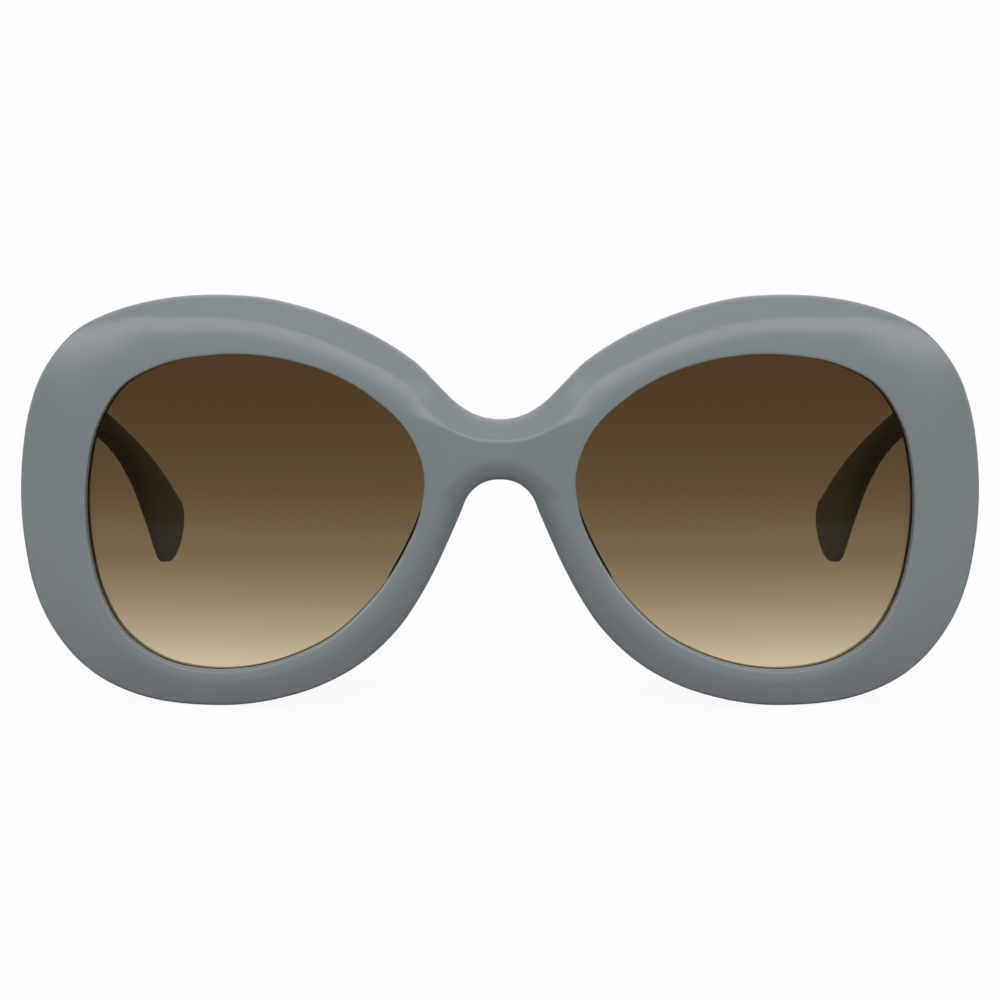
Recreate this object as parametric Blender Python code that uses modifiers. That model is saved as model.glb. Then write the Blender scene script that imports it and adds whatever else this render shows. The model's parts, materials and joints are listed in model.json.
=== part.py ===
"""Oval sunglasses: a bowed front, two tinted lenses, bonded nose pads and two temples on five-barrel hinges.

The pieces are modelled as the glasses are worn: X across the face, Y back along the temples, Z up, with
the origin between the lenses at their mid-height. A stand empty then leans the whole object back on its rims
and tips.
"""

import math

import bmesh
import bpy
import numpy as np
from mathutils import Matrix, Vector

# Driving dimensions of the front, in metres, measured as an optician boxes a frame
LENS_WIDTH = 0.0522
LENS_HEIGHT = 0.0487
BRIDGE_WIDTH = 0.0227
TEMPORAL_RIM = 0.01045
BROW_RIM = 0.00875
BOTTOM_RIM = 0.0054
BOW_RADIUS = 0.200
RIM_THICKNESS = 0.0065
BRIDGE_LIFT = 0.0030
BRIDGE_LIFT_REACH = 0.0120

# Edges of the front: the lip round the opening, the rolled outer edge of each region and the brow facet
LIP_WIDTH = 0.0005
LIP_DEPTH = 0.0004
REAR_LIP = 0.0008
REAR_ROLL = 0.0014
SIDE_ROLL = (0.0060, 0.0032)
BROW_ROLL = (0.0005, 0.0005)
NOSE_ROLL = (0.0052, 0.0034)
BOTTOM_ROLL = (0.0036, 0.0026)
CROWN = (0.0030, 0.00016)
BROW_FACET_WIDTH = 0.0038
BROW_FACET_DEPTH = 0.0018

# Width and depth of the soft fall of the face towards the brow facet's crease, in each region
NO_SHOULDER = (0.0030, 0.0)
CORNER_SHOULDER = (0.0046, 0.00046)
BROW_SHOULDER = (0.0034, 0.00034)
NOSE_SHOULDER = (0.0006, 0.00006)

# Lenses, held in a groove
LENS_SETBACK = 0.0021
LENS_THICKNESS = 0.0020
LENS_BITE = 0.0006
LENS_GAP = 0.00015

# Endpieces and hinges
TEMPLE_INSET = 0.0038
HINGE_LIFT = 0.0168
ENDPIECE_REACH = 0.0061
ENDPIECE_WIDTH = 0.0076
ENDPIECE_TRIM = 0.0004
ENDPIECE_ROOT = 0.0015
BUTT_GAP = 0.0003
BARREL_RADIUS = 0.0017
BARREL_COUNT = 5
HINGE_HEIGHT = 0.0080
BARREL_GAP = 0.00012
HINGE_INSET = 0.0016
SWING_GAP = 0.0003
ANCHOR_DEPTH = 0.0060
ANCHOR_THICKNESS = 0.0011
PLATE_LENGTH = 0.0122
PLATE_THICKNESS = 0.0012
PLATE_PROUD = 0.0002
POCKET_GAP = 0.00015
SCREW_RADIUS = 0.0007
SCREW_GAP = 0.00008
SCREW_HEAD_RADIUS = 0.00115
SCREW_HEAD_HEIGHT = 0.0007
SCREW_HEAD_GAP = 0.0001
SCREW_SLOT_WIDTH = 0.0003
SCREW_SLOT_DEPTH = 0.0003

# Temples and the wire inside each
TEMPLE_LENGTH = 0.1290
TEMPLE_HEIGHT = 0.0125
TEMPLE_THICKNESS = 0.0042
TEMPLE_DROP = 0.0356
TEMPLE_INWARD = 0.01305
WIRE_RADIUS = 0.00065
WIRE_GAP = 0.00012
WIRE_END_GAP = 0.0006
WIRE_SETTLE = 0.0210

# Nose pads
PAD_LENGTH = 0.0162
PAD_WIDTH = 0.0046
PAD_DEPTH = 0.0042
PAD_DROP = 0.0062
PAD_FROM_OPENING = 0.0017
PAD_GAP = 0.00025

# Standing on the rims and the tips, each with a small flat
REST_FLAT = 0.00015

# How far a cutter runs past what it cuts, and how near two points merge
OVERRUN = 0.0010
MERGE_DISTANCE = 0.00001

# Sampling
CURVE_STEPS = 8
OUTLINE_SECTIONS = 62
BRIDGE_SECTIONS = 8
LIP_STEPS = 2
FACE_STEPS = 3
ROLL_STEPS = 4
TEMPLE_SIDES = 20
TEMPLE_STEPS = 2
TIP_STEPS = 4
PAD_SEGMENTS = 16
PAD_RINGS = 10
BARREL_SIDES = 24
SCREW_SIDES = 16
WIRE_POINTS = 16
TILT_STEPS = 50
SMOOTH_DEG = 35.0

# Colour in scene-linear values, roughness, metallic and alpha of each material
FINISHES = {
    "matte_frame": ((0.188, 0.216, 0.223), 0.45, 0.0, 1.0),
    "matte_temple": ((0.188, 0.216, 0.223), 0.45, 0.0, 1.0),
    "matte_pad": ((0.180, 0.206, 0.214), 0.40, 0.0, 1.0),
    "tinted_lens": ((0.130, 0.088, 0.040), 0.05, 0.0, 0.75),
    "hinge_metal": ((0.62, 0.61, 0.58), 0.28, 1.0, 1.0),
    "screw_metal": ((0.55, 0.55, 0.55), 0.25, 1.0, 1.0),
    "wire_metal": ((0.60, 0.59, 0.56), 0.30, 1.0, 1.0),
}

# Outline of the front from the bridge's top round to its underside, as shares of half its width and height
OUTLINE_SHARES = (
    (0.000, 0.402), (0.042, 0.418), (0.083, 0.469), (0.124, 0.561), (0.166, 0.666), (0.207, 0.738),
    (0.248, 0.796), (0.331, 0.887), (0.413, 0.951), (0.496, 0.989), (0.580, 1.000), (0.664, 0.991),
    (0.748, 0.956), (0.832, 0.893), (0.875, 0.839), (0.917, 0.745), (0.956, 0.602), (0.981, 0.435),
    (0.995, 0.240), (1.000, 0.046), (0.991, -0.249), (0.975, -0.421), (0.949, -0.568), (0.920, -0.680),
    (0.878, -0.797), (0.836, -0.874), (0.751, -0.961), (0.667, -0.995), (0.624, -1.000), (0.541, -0.996),
    (0.457, -0.962), (0.373, -0.898), (0.290, -0.789), (0.207, -0.603), (0.166, -0.460), (0.124, -0.278),
    (0.104, -0.174), (0.083, -0.061), (0.062, 0.045), (0.042, 0.087), (0.021, 0.1075), (0.000, 0.112),
)

# Opening's radius every 15 degrees from the temple side upward, as shares of its half width and half height
OPENING_SHARES = (
    1.001, 1.025, 1.076, 1.112, 1.079, 1.029, 0.999, 0.991, 0.998, 1.022, 1.044, 1.029,
    0.969, 0.908, 0.876, 0.871, 0.894, 0.930, 0.977, 1.035, 1.085, 1.093, 1.052, 1.010,
)

# Temple from hinge to tip: shares of length, drop, height and thickness
TEMPLE_SHARES = (
    (0.00, 0.000, 1.00, 1.00), (0.06, 0.018, 0.97, 1.00), (0.19, 0.075, 0.85, 1.00),
    (0.31, 0.125, 0.64, 0.98), (0.44, 0.160, 0.45, 0.95), (0.56, 0.208, 0.34, 0.92),
    (0.66, 0.282, 0.315, 0.90), (0.73, 0.358, 0.365, 0.885), (0.79, 0.449, 0.486, 0.885),
    (0.87, 0.625, 0.778, 0.89), (0.93, 0.802, 1.03, 0.90),
)
INWARD_START_SHARE = 0.38
TIP_ROUND_SHARE = 0.32
TIP_END_DEG = 80.0
WIRE_END_SHARE = 0.92

# Squareness of a temple's section at the hinge and along the arm, the shares of length between which it
# eases, and the squareness of a nose pad's seat
BUTT_POWER = 5.0
ARM_POWER = 2.6
TIP_THIN_POWER = 0.7
SQUARE_UNTIL_SHARE = 0.10
ROUND_FROM_SHARE = 0.45
PAD_POWER = 4.0

# Angles, seen from the front round the lens from the temple side upward, between which each form blends
ROLL_STOPS = (
    (20, SIDE_ROLL), (56, BROW_ROLL), (161, BROW_ROLL), (170, NOSE_ROLL), (225, NOSE_ROLL),
    (250, BOTTOM_ROLL), (300, BOTTOM_ROLL), (330, SIDE_ROLL), (380, SIDE_ROLL),
)
FACET_STOPS = (
    (46, 0.0), (60, 0.60), (68, 0.86), (92, 1.0), (124, 1.0),
    (138, 0.84), (158, 0.80), (164, 0.78), (168, 0.0),
)
SHOULDER_STOPS = (
    (15, NO_SHOULDER), (42, CORNER_SHOULDER), (63, CORNER_SHOULDER), (92, BROW_SHOULDER),
    (143, BROW_SHOULDER), (158, NOSE_SHOULDER), (164, NOSE_SHOULDER), (168, NO_SHOULDER),
)

# Most of a rim's width that its edge roll takes, the least of its flat that lies on each side of the crease,
# and how far the opening's wall leans with the bow
ROLL_LIMIT_SHARE = 0.7
CREASE_MARGIN_SHARE = 0.2
WALL_LEAN_SHARE = 0.3

# How strongly the front's sections crowd towards the bridge, and the rings of a lens from its middle outward
BRIDGE_CROWDING_SHARE = 0.6
LENS_RING_SHARES = (0.1, 0.55, 1.0)

# Where the round of the temple leaf's barrels starts, above the plate that they run into
TEMPLE_BARREL_START_DEG = 80.0
TILT_LIMIT_DEG = 45.0

HALF_WIDTH = BRIDGE_WIDTH / 2 + LENS_WIDTH + TEMPORAL_RIM
HALF_HEIGHT = (LENS_HEIGHT + BROW_RIM + BOTTOM_RIM) / 2
FRONT_MIDDLE = (BROW_RIM - BOTTOM_RIM) / 2
LENS_MIDDLE = (BRIDGE_WIDTH + LENS_WIDTH) / 2


def quarter(steps):
    """Angles that step through a quarter turn, both ends included."""
    return [math.pi / 2 * step / steps for step in range(steps + 1)]


def ease(low, high, value):
    """A smooth rise from 0 at low to 1 at high."""
    share = min(max((value - low) / (high - low), 0.0), 1.0)
    return share * share * (3 - 2 * share)


def blend_stops(stops, angle):
    """The value at an angle between stops, eased from each stop to the next."""
    for (start, first), (end, second) in zip(stops, stops[1:]):
        if start <= angle <= end:
            share = ease(start, end, angle)
            return np.add(np.multiply(first, 1 - share), np.multiply(second, share))
    return np.array(stops[0][1]) if angle < stops[0][0] else np.array(stops[-1][1])


def smooth_curve(points, steps):
    """A smooth curve through all points but the first and last, which only set the slope at the ends."""
    points = [np.array(point, dtype=float) for point in points]
    spans = [np.linalg.norm(b - a) for a, b in zip(points, points[1:])]
    slopes = []
    for index in range(1, len(points) - 1):
        before, after = spans[index - 1], spans[index]
        rise = (points[index] - points[index - 1]) / before * after
        rise += (points[index + 1] - points[index]) / after * before
        slopes.append(rise / (before + after))
    curve = [points[1]]
    for index, (first, second) in enumerate(zip(slopes, slopes[1:])):
        start, end, span = points[index + 1], points[index + 2], spans[index + 1]
        for step in range(1, steps + 1):
            t = step / steps
            curve.append(
                start * (2 * t**3 - 3 * t**2 + 1)
                + first * span * (t**3 - 2 * t**2 + t)
                + end * (3 * t**2 - 2 * t**3)
                + second * span * (t**3 - t**2)
            )
    return np.array(curve)


def front_outline():
    """The half outline, from the bridge's top round the rim to the bridge's underside."""
    points = [(x * HALF_WIDTH, FRONT_MIDDLE + z * HALF_HEIGHT) for x, z in OUTLINE_SHARES]
    first, last = points[1], points[-2]
    points = [(-first[0], first[1])] + points + [(-last[0], last[1])]
    return smooth_curve(points, CURVE_STEPS)


def lens_opening():
    """The opening's closed outline about the lens's own middle."""
    count = len(OPENING_SHARES)
    points = []
    for index in range(-1, count + 2):
        angle = 2 * math.pi * index / count
        reach = OPENING_SHARES[index % count]
        points.append((reach * math.cos(angle) * LENS_WIDTH / 2, reach * math.sin(angle) * LENS_HEIGHT / 2))
    return smooth_curve(points, CURVE_STEPS)[:-1]


OUTLINE = front_outline()
OPENING = lens_opening()
OPENING_ANGLES = np.unwrap(np.arctan2(OPENING[:, 1], OPENING[:, 0]))
OPENING_REACHES = np.linalg.norm(OPENING, axis=1)


def edge_distance(x, z):
    """How far a point of the front lies inside its outline."""
    start, run = OUTLINE[:-1], np.diff(OUTLINE, axis=0)
    offset = np.array((x, z)) - start
    share = np.clip((offset * run).sum(axis=1) / (run * run).sum(axis=1), 0, 1)
    return float(np.linalg.norm(offset - run * share[:, None], axis=1).min())


def bow(x, z):
    """Depth of the bowed surface that the front and the lenses follow."""
    return BOW_RADIUS - math.sqrt(BOW_RADIUS**2 - x**2 - z**2)


def rounding(distance, width, depth):
    """Depth that a rounded edge loses at a distance inside it."""
    if distance >= width:
        return 0.0
    return depth * (1 - math.sqrt(max(1 - (1 - distance / width) ** 2, 0.0)))


def opening_point(angle, spread):
    """A point of the lens opening at an angle about its middle, moved outward by a spread."""
    reach = np.interp(angle, OPENING_ANGLES, OPENING_REACHES, period=2 * math.pi) + spread
    return np.array((LENS_MIDDLE + reach * math.cos(angle), reach * math.sin(angle)))


def leaning(point, depth):
    """Where a point of the opening's wall lies at a depth, as the wall leans part of the way with the bow."""
    return point * (1 - WALL_LEAN_SHARE * depth / BOW_RADIUS)


def section_ends():
    """Outer end of each section round the opening: along the outline, then up the plane of symmetry."""
    lengths = np.concatenate(([0], np.cumsum(np.linalg.norm(np.diff(OUTLINE, axis=0), axis=1))))
    ends = []
    for index in range(OUTLINE_SECTIONS + 1):
        share = index / OUTLINE_SECTIONS
        share -= BRIDGE_CROWDING_SHARE * math.sin(2 * math.pi * share) / (2 * math.pi)
        ends.append(tuple(np.interp(share * lengths[-1], lengths, OUTLINE[:, axis]) for axis in (0, 1)))
    top, bottom = OUTLINE[0][1], OUTLINE[-1][1]
    for index in range(1, BRIDGE_SECTIONS):
        share = (1 - math.cos(math.pi * index / BRIDGE_SECTIONS)) / 2
        ends.append((0.0, bottom + (top - bottom) * share))
    return ends


def start_angle(x, z):
    """Angle on the opening at which a section starts, higher near the bridge so as to meet it squarely."""
    return math.atan2(z + BRIDGE_LIFT * max(1 - x / BRIDGE_LIFT_REACH, 0.0), x - LENS_MIDDLE)


SECTION_ENDS = section_ends()
SECTION_ANGLES = [math.atan2(z, x - LENS_MIDDLE) for x, z in SECTION_ENDS]
START_ANGLES = [start_angle(x, z) for x, z in SECTION_ENDS]


def front_depth(x, z, inset, width, angle):
    """Depth of the front face at a point that lies an inset from the opening, on a section of a width."""
    roll_width, roll_depth = blend_stops(ROLL_STOPS, angle)
    roll_width = min(roll_width, (width - LIP_WIDTH) * ROLL_LIMIT_SHARE)
    shoulder_width, shoulder_depth = blend_stops(SHOULDER_STOPS, angle)
    edge = edge_distance(x, z)
    crease = edge - BROW_FACET_WIDTH * float(blend_stops(FACET_STOPS, angle))
    depth = bow(x, z) + rounding(inset, LIP_WIDTH, LIP_DEPTH) + rounding(edge, roll_width, roll_depth)
    depth += CROWN[1] * max(1 - inset / CROWN[0], 0.0) ** 2
    depth += shoulder_depth * max(1 - max(crease, 0.0) / shoulder_width, 0.0) ** 2
    return depth + BROW_FACET_DEPTH / BROW_FACET_WIDTH * max(-crease, 0.0)


def rear_depth(x, z, inset):
    """Depth of the rear face at a point that lies an inset from the opening."""
    depth = bow(x, z) + RIM_THICKNESS
    depth -= rounding(inset, REAR_LIP, REAR_LIP)
    return depth - rounding(edge_distance(x, z), REAR_ROLL, REAR_ROLL)


def front_stops(width, angle):
    """Distances from the opening at which a section's front face has points."""
    roll = min(blend_stops(ROLL_STOPS, angle)[0], (width - LIP_WIDTH) * ROLL_LIMIT_SHARE)
    facet = max(float(blend_stops(FACET_STOPS, angle)) * BROW_FACET_WIDTH, roll)
    flat = width - LIP_WIDTH - roll
    margin = flat * CREASE_MARGIN_SHARE
    crease = width - min(max(facet, roll + margin), roll + flat - margin)
    stops = [LIP_WIDTH * (1 - math.cos(turn)) for turn in quarter(LIP_STEPS)]
    stops += [LIP_WIDTH + (crease - LIP_WIDTH) * step / FACE_STEPS for step in range(1, FACE_STEPS + 1)]
    return stops + [width - roll * (1 - math.cos(turn)) for turn in reversed(quarter(ROLL_STEPS))]


def rear_stops(width):
    """Distances from the opening at which a section's rear face has points, from the outer edge inward."""
    stops = [width - REAR_ROLL * (1 - math.cos(turn)) for turn in quarter(LIP_STEPS)]
    stops.append((width - REAR_ROLL + REAR_LIP) / 2)
    return stops + [REAR_LIP * (1 - math.cos(turn)) for turn in reversed(quarter(LIP_STEPS))]


def front_section(end, angle, start):
    """One closed section of the rim: front face, outer edge, rear face and grooved inner wall."""
    inner = opening_point(start, 0)
    run = np.array(end) - inner
    width = float(np.linalg.norm(run))
    degrees = math.degrees(angle) % 360
    section = []
    for stop in front_stops(width, degrees):
        x, z = inner + run * stop / width
        section.append((x, front_depth(x, z, stop, width, degrees), z))
    rear_inner = leaning(inner, RIM_THICKNESS)
    for stop in rear_stops(width):
        x, z = rear_inner + (np.array(end) - rear_inner) * stop / width
        section.append((x, rear_depth(x, z, stop), z))
    near, far = LENS_SETBACK - LENS_GAP, LENS_SETBACK + LENS_THICKNESS + LENS_GAP
    groove = LENS_BITE + LENS_GAP
    for setback, spread in ((far, 0), (far, groove), (near, groove), (near, 0)):
        x, z = leaning(opening_point(start, spread), setback)
        section.append((x, bow(x, z) + setback, z))
    return section


def loft(sections, closed_round, skip=lambda points: False):
    """A mesh skinned over sections that each have the same number of points."""
    mesh = bmesh.new()
    rings = [[mesh.verts.new(point) for point in section] for section in sections]
    following = rings[1:] + rings[:1] if closed_round else rings[1:]
    for ring, after in zip(rings, following):
        for index in range(len(ring)):
            beside = (index + 1) % len(ring)
            corners = (ring[index], ring[beside], after[beside], after[index])
            if not skip(corners):
                mesh.faces.new(corners)
    if not closed_round:
        mesh.faces.new(rings[0])
        mesh.faces.new(reversed(rings[-1]))
    return mesh


def finish_mesh(mesh, name):
    """Turns a bmesh into mesh data with outward faces, smooth but for its sharp edges."""
    bmesh.ops.recalc_face_normals(mesh, faces=mesh.faces)
    if mesh.calc_volume(signed=True) < 0:
        bmesh.ops.reverse_faces(mesh, faces=mesh.faces)
    data = bpy.data.meshes.new(name)
    mesh.to_mesh(data)
    mesh.free()
    data.shade_smooth()
    data.set_sharp_from_angle(angle=math.radians(SMOOTH_DEG))
    return data


def add_object(name, data, collection, parent, slot=None):
    """An object on a parent, with a material if it is a part and not a cutter."""
    item = bpy.data.objects.new(name, data)
    collection.objects.link(item)
    item.parent = parent
    if slot:
        data.materials.append(slot)
    else:
        item.hide_render = True
        item.display_type = "WIRE"
    return item


def add_empty(name, parent, place):
    """An empty that carries other objects."""
    item = bpy.data.objects.new(name, None)
    bpy.context.scene.collection.objects.link(item)
    item.parent = parent
    item.location = place
    return item


def cut(item, cutter, operation="DIFFERENCE"):
    """A live Boolean of one object with another."""
    modifier = item.modifiers.new(cutter.name, "BOOLEAN")
    modifier.operation = operation
    modifier.object = cutter
    modifier.solver = "EXACT"


def box_mesh(name, low, high):
    """A box between two corners."""
    mesh = bmesh.new()
    low, high = Vector(low), Vector(high)
    placing = Matrix.Translation((low + high) / 2) @ Matrix.Diagonal((high - low).to_4d())
    bmesh.ops.create_cube(mesh, size=1, matrix=placing)
    return finish_mesh(mesh, name)


def side_box(name, side, low, high):
    """A box on the side of the face that a piece belongs to."""
    near, far = sorted((low[0] * side, high[0] * side))
    return box_mesh(name, (near, low[1], low[2]), (far, high[1], high[2]))


def rod_mesh(name, radius, low, high, sides):
    """An upright cylinder on the local Z axis."""
    mesh = bmesh.new()
    bmesh.ops.create_cone(
        mesh, cap_ends=True, segments=sides, radius1=radius, radius2=radius, depth=high - low,
        matrix=Matrix.Translation((0, 0, (low + high) / 2)),
    )
    return finish_mesh(mesh, name)


def paint(name):
    """The material of one finish."""
    colour, roughness, metallic, alpha = FINISHES[name]
    material = bpy.data.materials.new(name)
    material.use_nodes = True
    shader = material.node_tree.nodes["Principled BSDF"]
    shader.inputs["Base Color"].default_value = (*colour, 1.0)
    shader.inputs["Roughness"].default_value = roughness
    shader.inputs["Metallic"].default_value = metallic
    shader.inputs["Alpha"].default_value = alpha
    material.diffuse_color = (*colour, alpha)
    return material


HINGE_PLACE_X = HALF_WIDTH - TEMPLE_INSET - TEMPLE_THICKNESS - HINGE_INSET
BUTT_DEPTH = bow(HINGE_PLACE_X, HINGE_LIFT) + RIM_THICKNESS + ENDPIECE_REACH
HINGE_PLACE_Y = BUTT_DEPTH + BARREL_RADIUS + SWING_GAP
HINGE_BOTTOM = -HINGE_HEIGHT / 2
BARREL_PITCH = (HINGE_HEIGHT + BARREL_GAP) / BARREL_COUNT
PLATE_START = BARREL_RADIUS + SWING_GAP
PLATE_END = PLATE_START + PLATE_LENGTH
PLATE_OUTER = HINGE_INSET - PLATE_PROUD + PLATE_THICKNESS


def rounded_ring(centre, across, upward, half_width, half_height, power):
    """A ring of points on a squared-off ellipse."""
    ring = []
    for index in range(TEMPLE_SIDES):
        turn = 2 * math.pi * (index + 0.5) / TEMPLE_SIDES
        wide = math.copysign(abs(math.cos(turn)) ** (2 / power), math.cos(turn))
        tall = math.copysign(abs(math.sin(turn)) ** (2 / power), math.sin(turn))
        ring.append(centre + across * half_width * wide + upward * half_height * tall)
    return ring


def build_front(stand, parts, cutters, slot):
    """The one-piece front, mirrored from its wearer's-left half, with an endpiece on each side."""
    sections = [front_section(*section) for section in zip(SECTION_ENDS, SECTION_ANGLES, START_ANGLES)]
    mesh = loft(sections, True, lambda corners: all(abs(corner.co.x) < MERGE_DISTANCE for corner in corners))
    front = add_object("front_frame", finish_mesh(mesh, "front_frame"), parts, stand, slot)
    mirror = front.modifiers.new("mirror", "MIRROR")
    mirror.merge_threshold = MERGE_DISTANCE
    for name, side in (("left", 1), ("right", -1)):
        cut(front, add_endpiece(name, side, stand, cutters), "UNION")
    return front


def add_endpiece(name, side, stand, cutters):
    """The block behind the rim that a temple butts against."""
    outer = HALF_WIDTH - TEMPLE_INSET
    middle = outer - ENDPIECE_WIDTH / 2
    root = bow(outer - ENDPIECE_WIDTH, HINGE_LIFT) + RIM_THICKNESS - ENDPIECE_ROOT
    rings = []
    for depth, trim in ((root, 0), (BUTT_DEPTH - ENDPIECE_TRIM, 0), (BUTT_DEPTH, ENDPIECE_TRIM)):
        rings.append(rounded_ring(
            Vector((side * middle, depth, HINGE_LIFT)), Vector((1, 0, 0)), Vector((0, 0, 1)),
            ENDPIECE_WIDTH / 2 - trim, TEMPLE_HEIGHT / 2 - trim, BUTT_POWER,
        ))
    return add_object(name + "_endpiece", finish_mesh(loft(rings, False), name + "_endpiece"), cutters, stand)


def lens_ring(side, share, setback):
    """A ring on one face of a lens, at a share of the way from its middle to its edge."""
    ring = []
    for angle in START_ANGLES:
        x, z = opening_point(angle, LENS_BITE)
        x, z = leaning(np.array((LENS_MIDDLE + (x - LENS_MIDDLE) * share, z * share)), setback)
        ring.append((side * x, bow(x, z) + setback, z))
    return ring


def build_lens(name, side, stand, parts, slot):
    """A bowed lens whose edge sits in the rim's groove."""
    rings = [lens_ring(side, share, LENS_SETBACK) for share in LENS_RING_SHARES]
    rings += [lens_ring(side, share, LENS_SETBACK + LENS_THICKNESS) for share in reversed(LENS_RING_SHARES)]
    return add_object(name + "_lens", finish_mesh(loft(rings, False), name + "_lens"), parts, stand, slot)


def build_pad(name, side, stand, parts, slot):
    """A bonded pad: an egg shape that follows the opening, flattened onto the back of the nasal rim."""
    mesh = bmesh.new()
    bmesh.ops.create_uvsphere(mesh, u_segments=PAD_SEGMENTS, v_segments=PAD_RINGS, radius=1)
    bmesh.ops.rotate(mesh, verts=mesh.verts, cent=(0, 0, 0), matrix=Matrix.Rotation(math.pi / 2, 3, "X"))
    hidden = [vert for vert in mesh.verts if vert.co.y < -MERGE_DISTANCE]
    bmesh.ops.delete(mesh, geom=hidden, context="VERTS")
    bmesh.ops.holes_fill(mesh, edges=mesh.edges)
    for vert in mesh.verts:
        across, proud, along = vert.co
        reach = math.hypot(across, along)
        if reach > MERGE_DISTANCE:
            squared = (abs(across / reach) ** PAD_POWER + abs(along / reach) ** PAD_POWER) ** (-1 / PAD_POWER)
            across, along = across * squared, along * squared
        drop = along * PAD_LENGTH / 2 - PAD_DROP
        angle = math.atan2(drop, BRIDGE_WIDTH / 2 - LENS_MIDDLE)
        x, z = opening_point(angle, PAD_FROM_OPENING - across * PAD_WIDTH / 2)
        seat = bow(x, z) + RIM_THICKNESS + PAD_GAP
        vert.co = (side * x, seat + max(proud, 0.0) * PAD_DEPTH, z)
    return add_object(name + "_nose_pad", finish_mesh(mesh, name + "_nose_pad"), parts, stand, slot)


def temple_stations():
    """Centre, height and thickness along a temple, about its hinge axis, to the start of its rounded tip."""
    start = BUTT_GAP - BARREL_RADIUS - SWING_GAP
    rows = [TEMPLE_SHARES[0]] + list(TEMPLE_SHARES) + [TEMPLE_SHARES[-1]]
    rows[0] = np.multiply(TEMPLE_SHARES[0], 2) - TEMPLE_SHARES[1]
    rows[-1] = np.multiply(TEMPLE_SHARES[-1], 2) - TEMPLE_SHARES[-2]
    stations = []
    for reach, drop, height, thickness in smooth_curve(rows, TEMPLE_STEPS):
        bend = max(reach - INWARD_START_SHARE, 0.0) / (1 - INWARD_START_SHARE)
        thick = thickness * TEMPLE_THICKNESS
        x = HINGE_INSET + TEMPLE_THICKNESS - thick / 2 - TEMPLE_INWARD * bend**2
        centre = Vector((x, start + reach * (TEMPLE_LENGTH - start), -drop * TEMPLE_DROP))
        stations.append((centre, height * TEMPLE_HEIGHT, thick, reach))
    return stations


def build_temple(name, side, hinge, parts, cutters, slot):
    """A temple: squared at the hinge, narrow over the ear, widening to a rounded tip."""
    stations = temple_stations()
    rings = []
    for index, (centre, height, thick, reach) in enumerate(stations):
        before, after = stations[max(index - 1, 0)][0], stations[min(index + 1, len(stations) - 1)][0]
        along = (after - before).normalized() if index else Vector((0, 1, 0))
        across = along.cross(Vector((0, 0, 1))).normalized()
        upward = across.cross(along)
        power = BUTT_POWER + (ARM_POWER - BUTT_POWER) * ease(SQUARE_UNTIL_SHARE, ROUND_FROM_SHARE, reach)
        rings.append(rounded_ring(centre, across, upward, thick / 2, height / 2, power))
        last = (centre, along, across, upward, thick / 2, height / 2, power)
    centre, along, across, upward, half_thick, half_height, power = last
    for turn in quarter(TIP_STEPS)[1:-1] + [math.radians(TIP_END_DEG)]:
        forward = along * half_height * 2 * TIP_ROUND_SHARE * math.sin(turn)
        thin = math.cos(turn) ** TIP_THIN_POWER
        rings.append(rounded_ring(
            centre + forward, across, upward, half_thick * thin, half_height * math.cos(turn), power,
        ))
    for ring in rings:
        for point in ring:
            point.x *= side
    data = finish_mesh(loft(rings, False), name + "_temple")
    temple = add_object(name + "_temple", data, parts, hinge, slot)
    add_temple_cutters(name, side, hinge, cutters, temple)
    return temple


def add_temple_cutters(name, side, hinge, cutters, temple):
    """The recess for the hinge leaf, and the blind bore for the wire that opens from it."""
    recess = side_box(
        name + "_hinge_recess", side,
        (-OVERRUN, -BARREL_RADIUS - SWING_GAP - OVERRUN, HINGE_BOTTOM - SWING_GAP),
        (PLATE_OUTER + POCKET_GAP, PLATE_END + POCKET_GAP, -HINGE_BOTTOM + SWING_GAP),
    )
    cut(temple, add_object(name + "_hinge_recess", recess, cutters, hinge))
    bore = tube_mesh(name + "_wire_bore", wire_path(side, 0), WIRE_RADIUS + WIRE_GAP)
    cut(temple, add_object(name + "_wire_bore", bore, cutters, hinge))


def wire_path(side, end_gap):
    """Route of a temple's wire, from the hinge plate to inside the tip, short of each end by a gap."""
    stations = temple_stations()
    reaches = [centre.y for centre, *rest in stations]
    places = np.linspace(PLATE_END, WIRE_END_SHARE * TEMPLE_LENGTH, WIRE_POINTS)
    places[0] += end_gap
    places[-1] -= end_gap
    mouth = HINGE_INSET + WIRE_RADIUS + WIRE_GAP
    path = []
    for y in places:
        x = np.interp(y, reaches, [centre.x for centre, *rest in stations])
        z = np.interp(y, reaches, [centre.z for centre, *rest in stations])
        settled = ease(PLATE_END, PLATE_END + WIRE_SETTLE, y)
        path.append((side * (mouth + (x - mouth) * settled), y, z))
    return path


def tube_mesh(name, path, radius):
    """A round tube along a path, with welded caps."""
    data = bpy.data.curves.new(name, "CURVE")
    data.dimensions = "3D"
    data.bevel_depth = radius
    data.bevel_resolution = 2
    data.use_fill_caps = True
    spline = data.splines.new("POLY")
    spline.points.add(len(path) - 1)
    for point, place in zip(spline.points, path):
        point.co = (*place, 1)
    guide = bpy.data.objects.new(name + "_path", data)
    bpy.context.scene.collection.objects.link(guide)
    bpy.context.view_layer.update()
    solid = bpy.data.meshes.new_from_object(guide.evaluated_get(bpy.context.evaluated_depsgraph_get()))
    bpy.data.objects.remove(guide)
    mesh = bmesh.new()
    mesh.from_mesh(solid)
    bpy.data.meshes.remove(solid)
    bmesh.ops.remove_doubles(mesh, verts=mesh.verts, dist=MERGE_DISTANCE)
    return finish_mesh(mesh, name)


def build_wire(name, side, hinge, parts, slot):
    """The metal wire that stiffens a temple."""
    wire = tube_mesh(name + "_core_wire", wire_path(side, WIRE_END_GAP), WIRE_RADIUS)
    return add_object(name + "_core_wire", wire, parts, hinge, slot)


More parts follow.
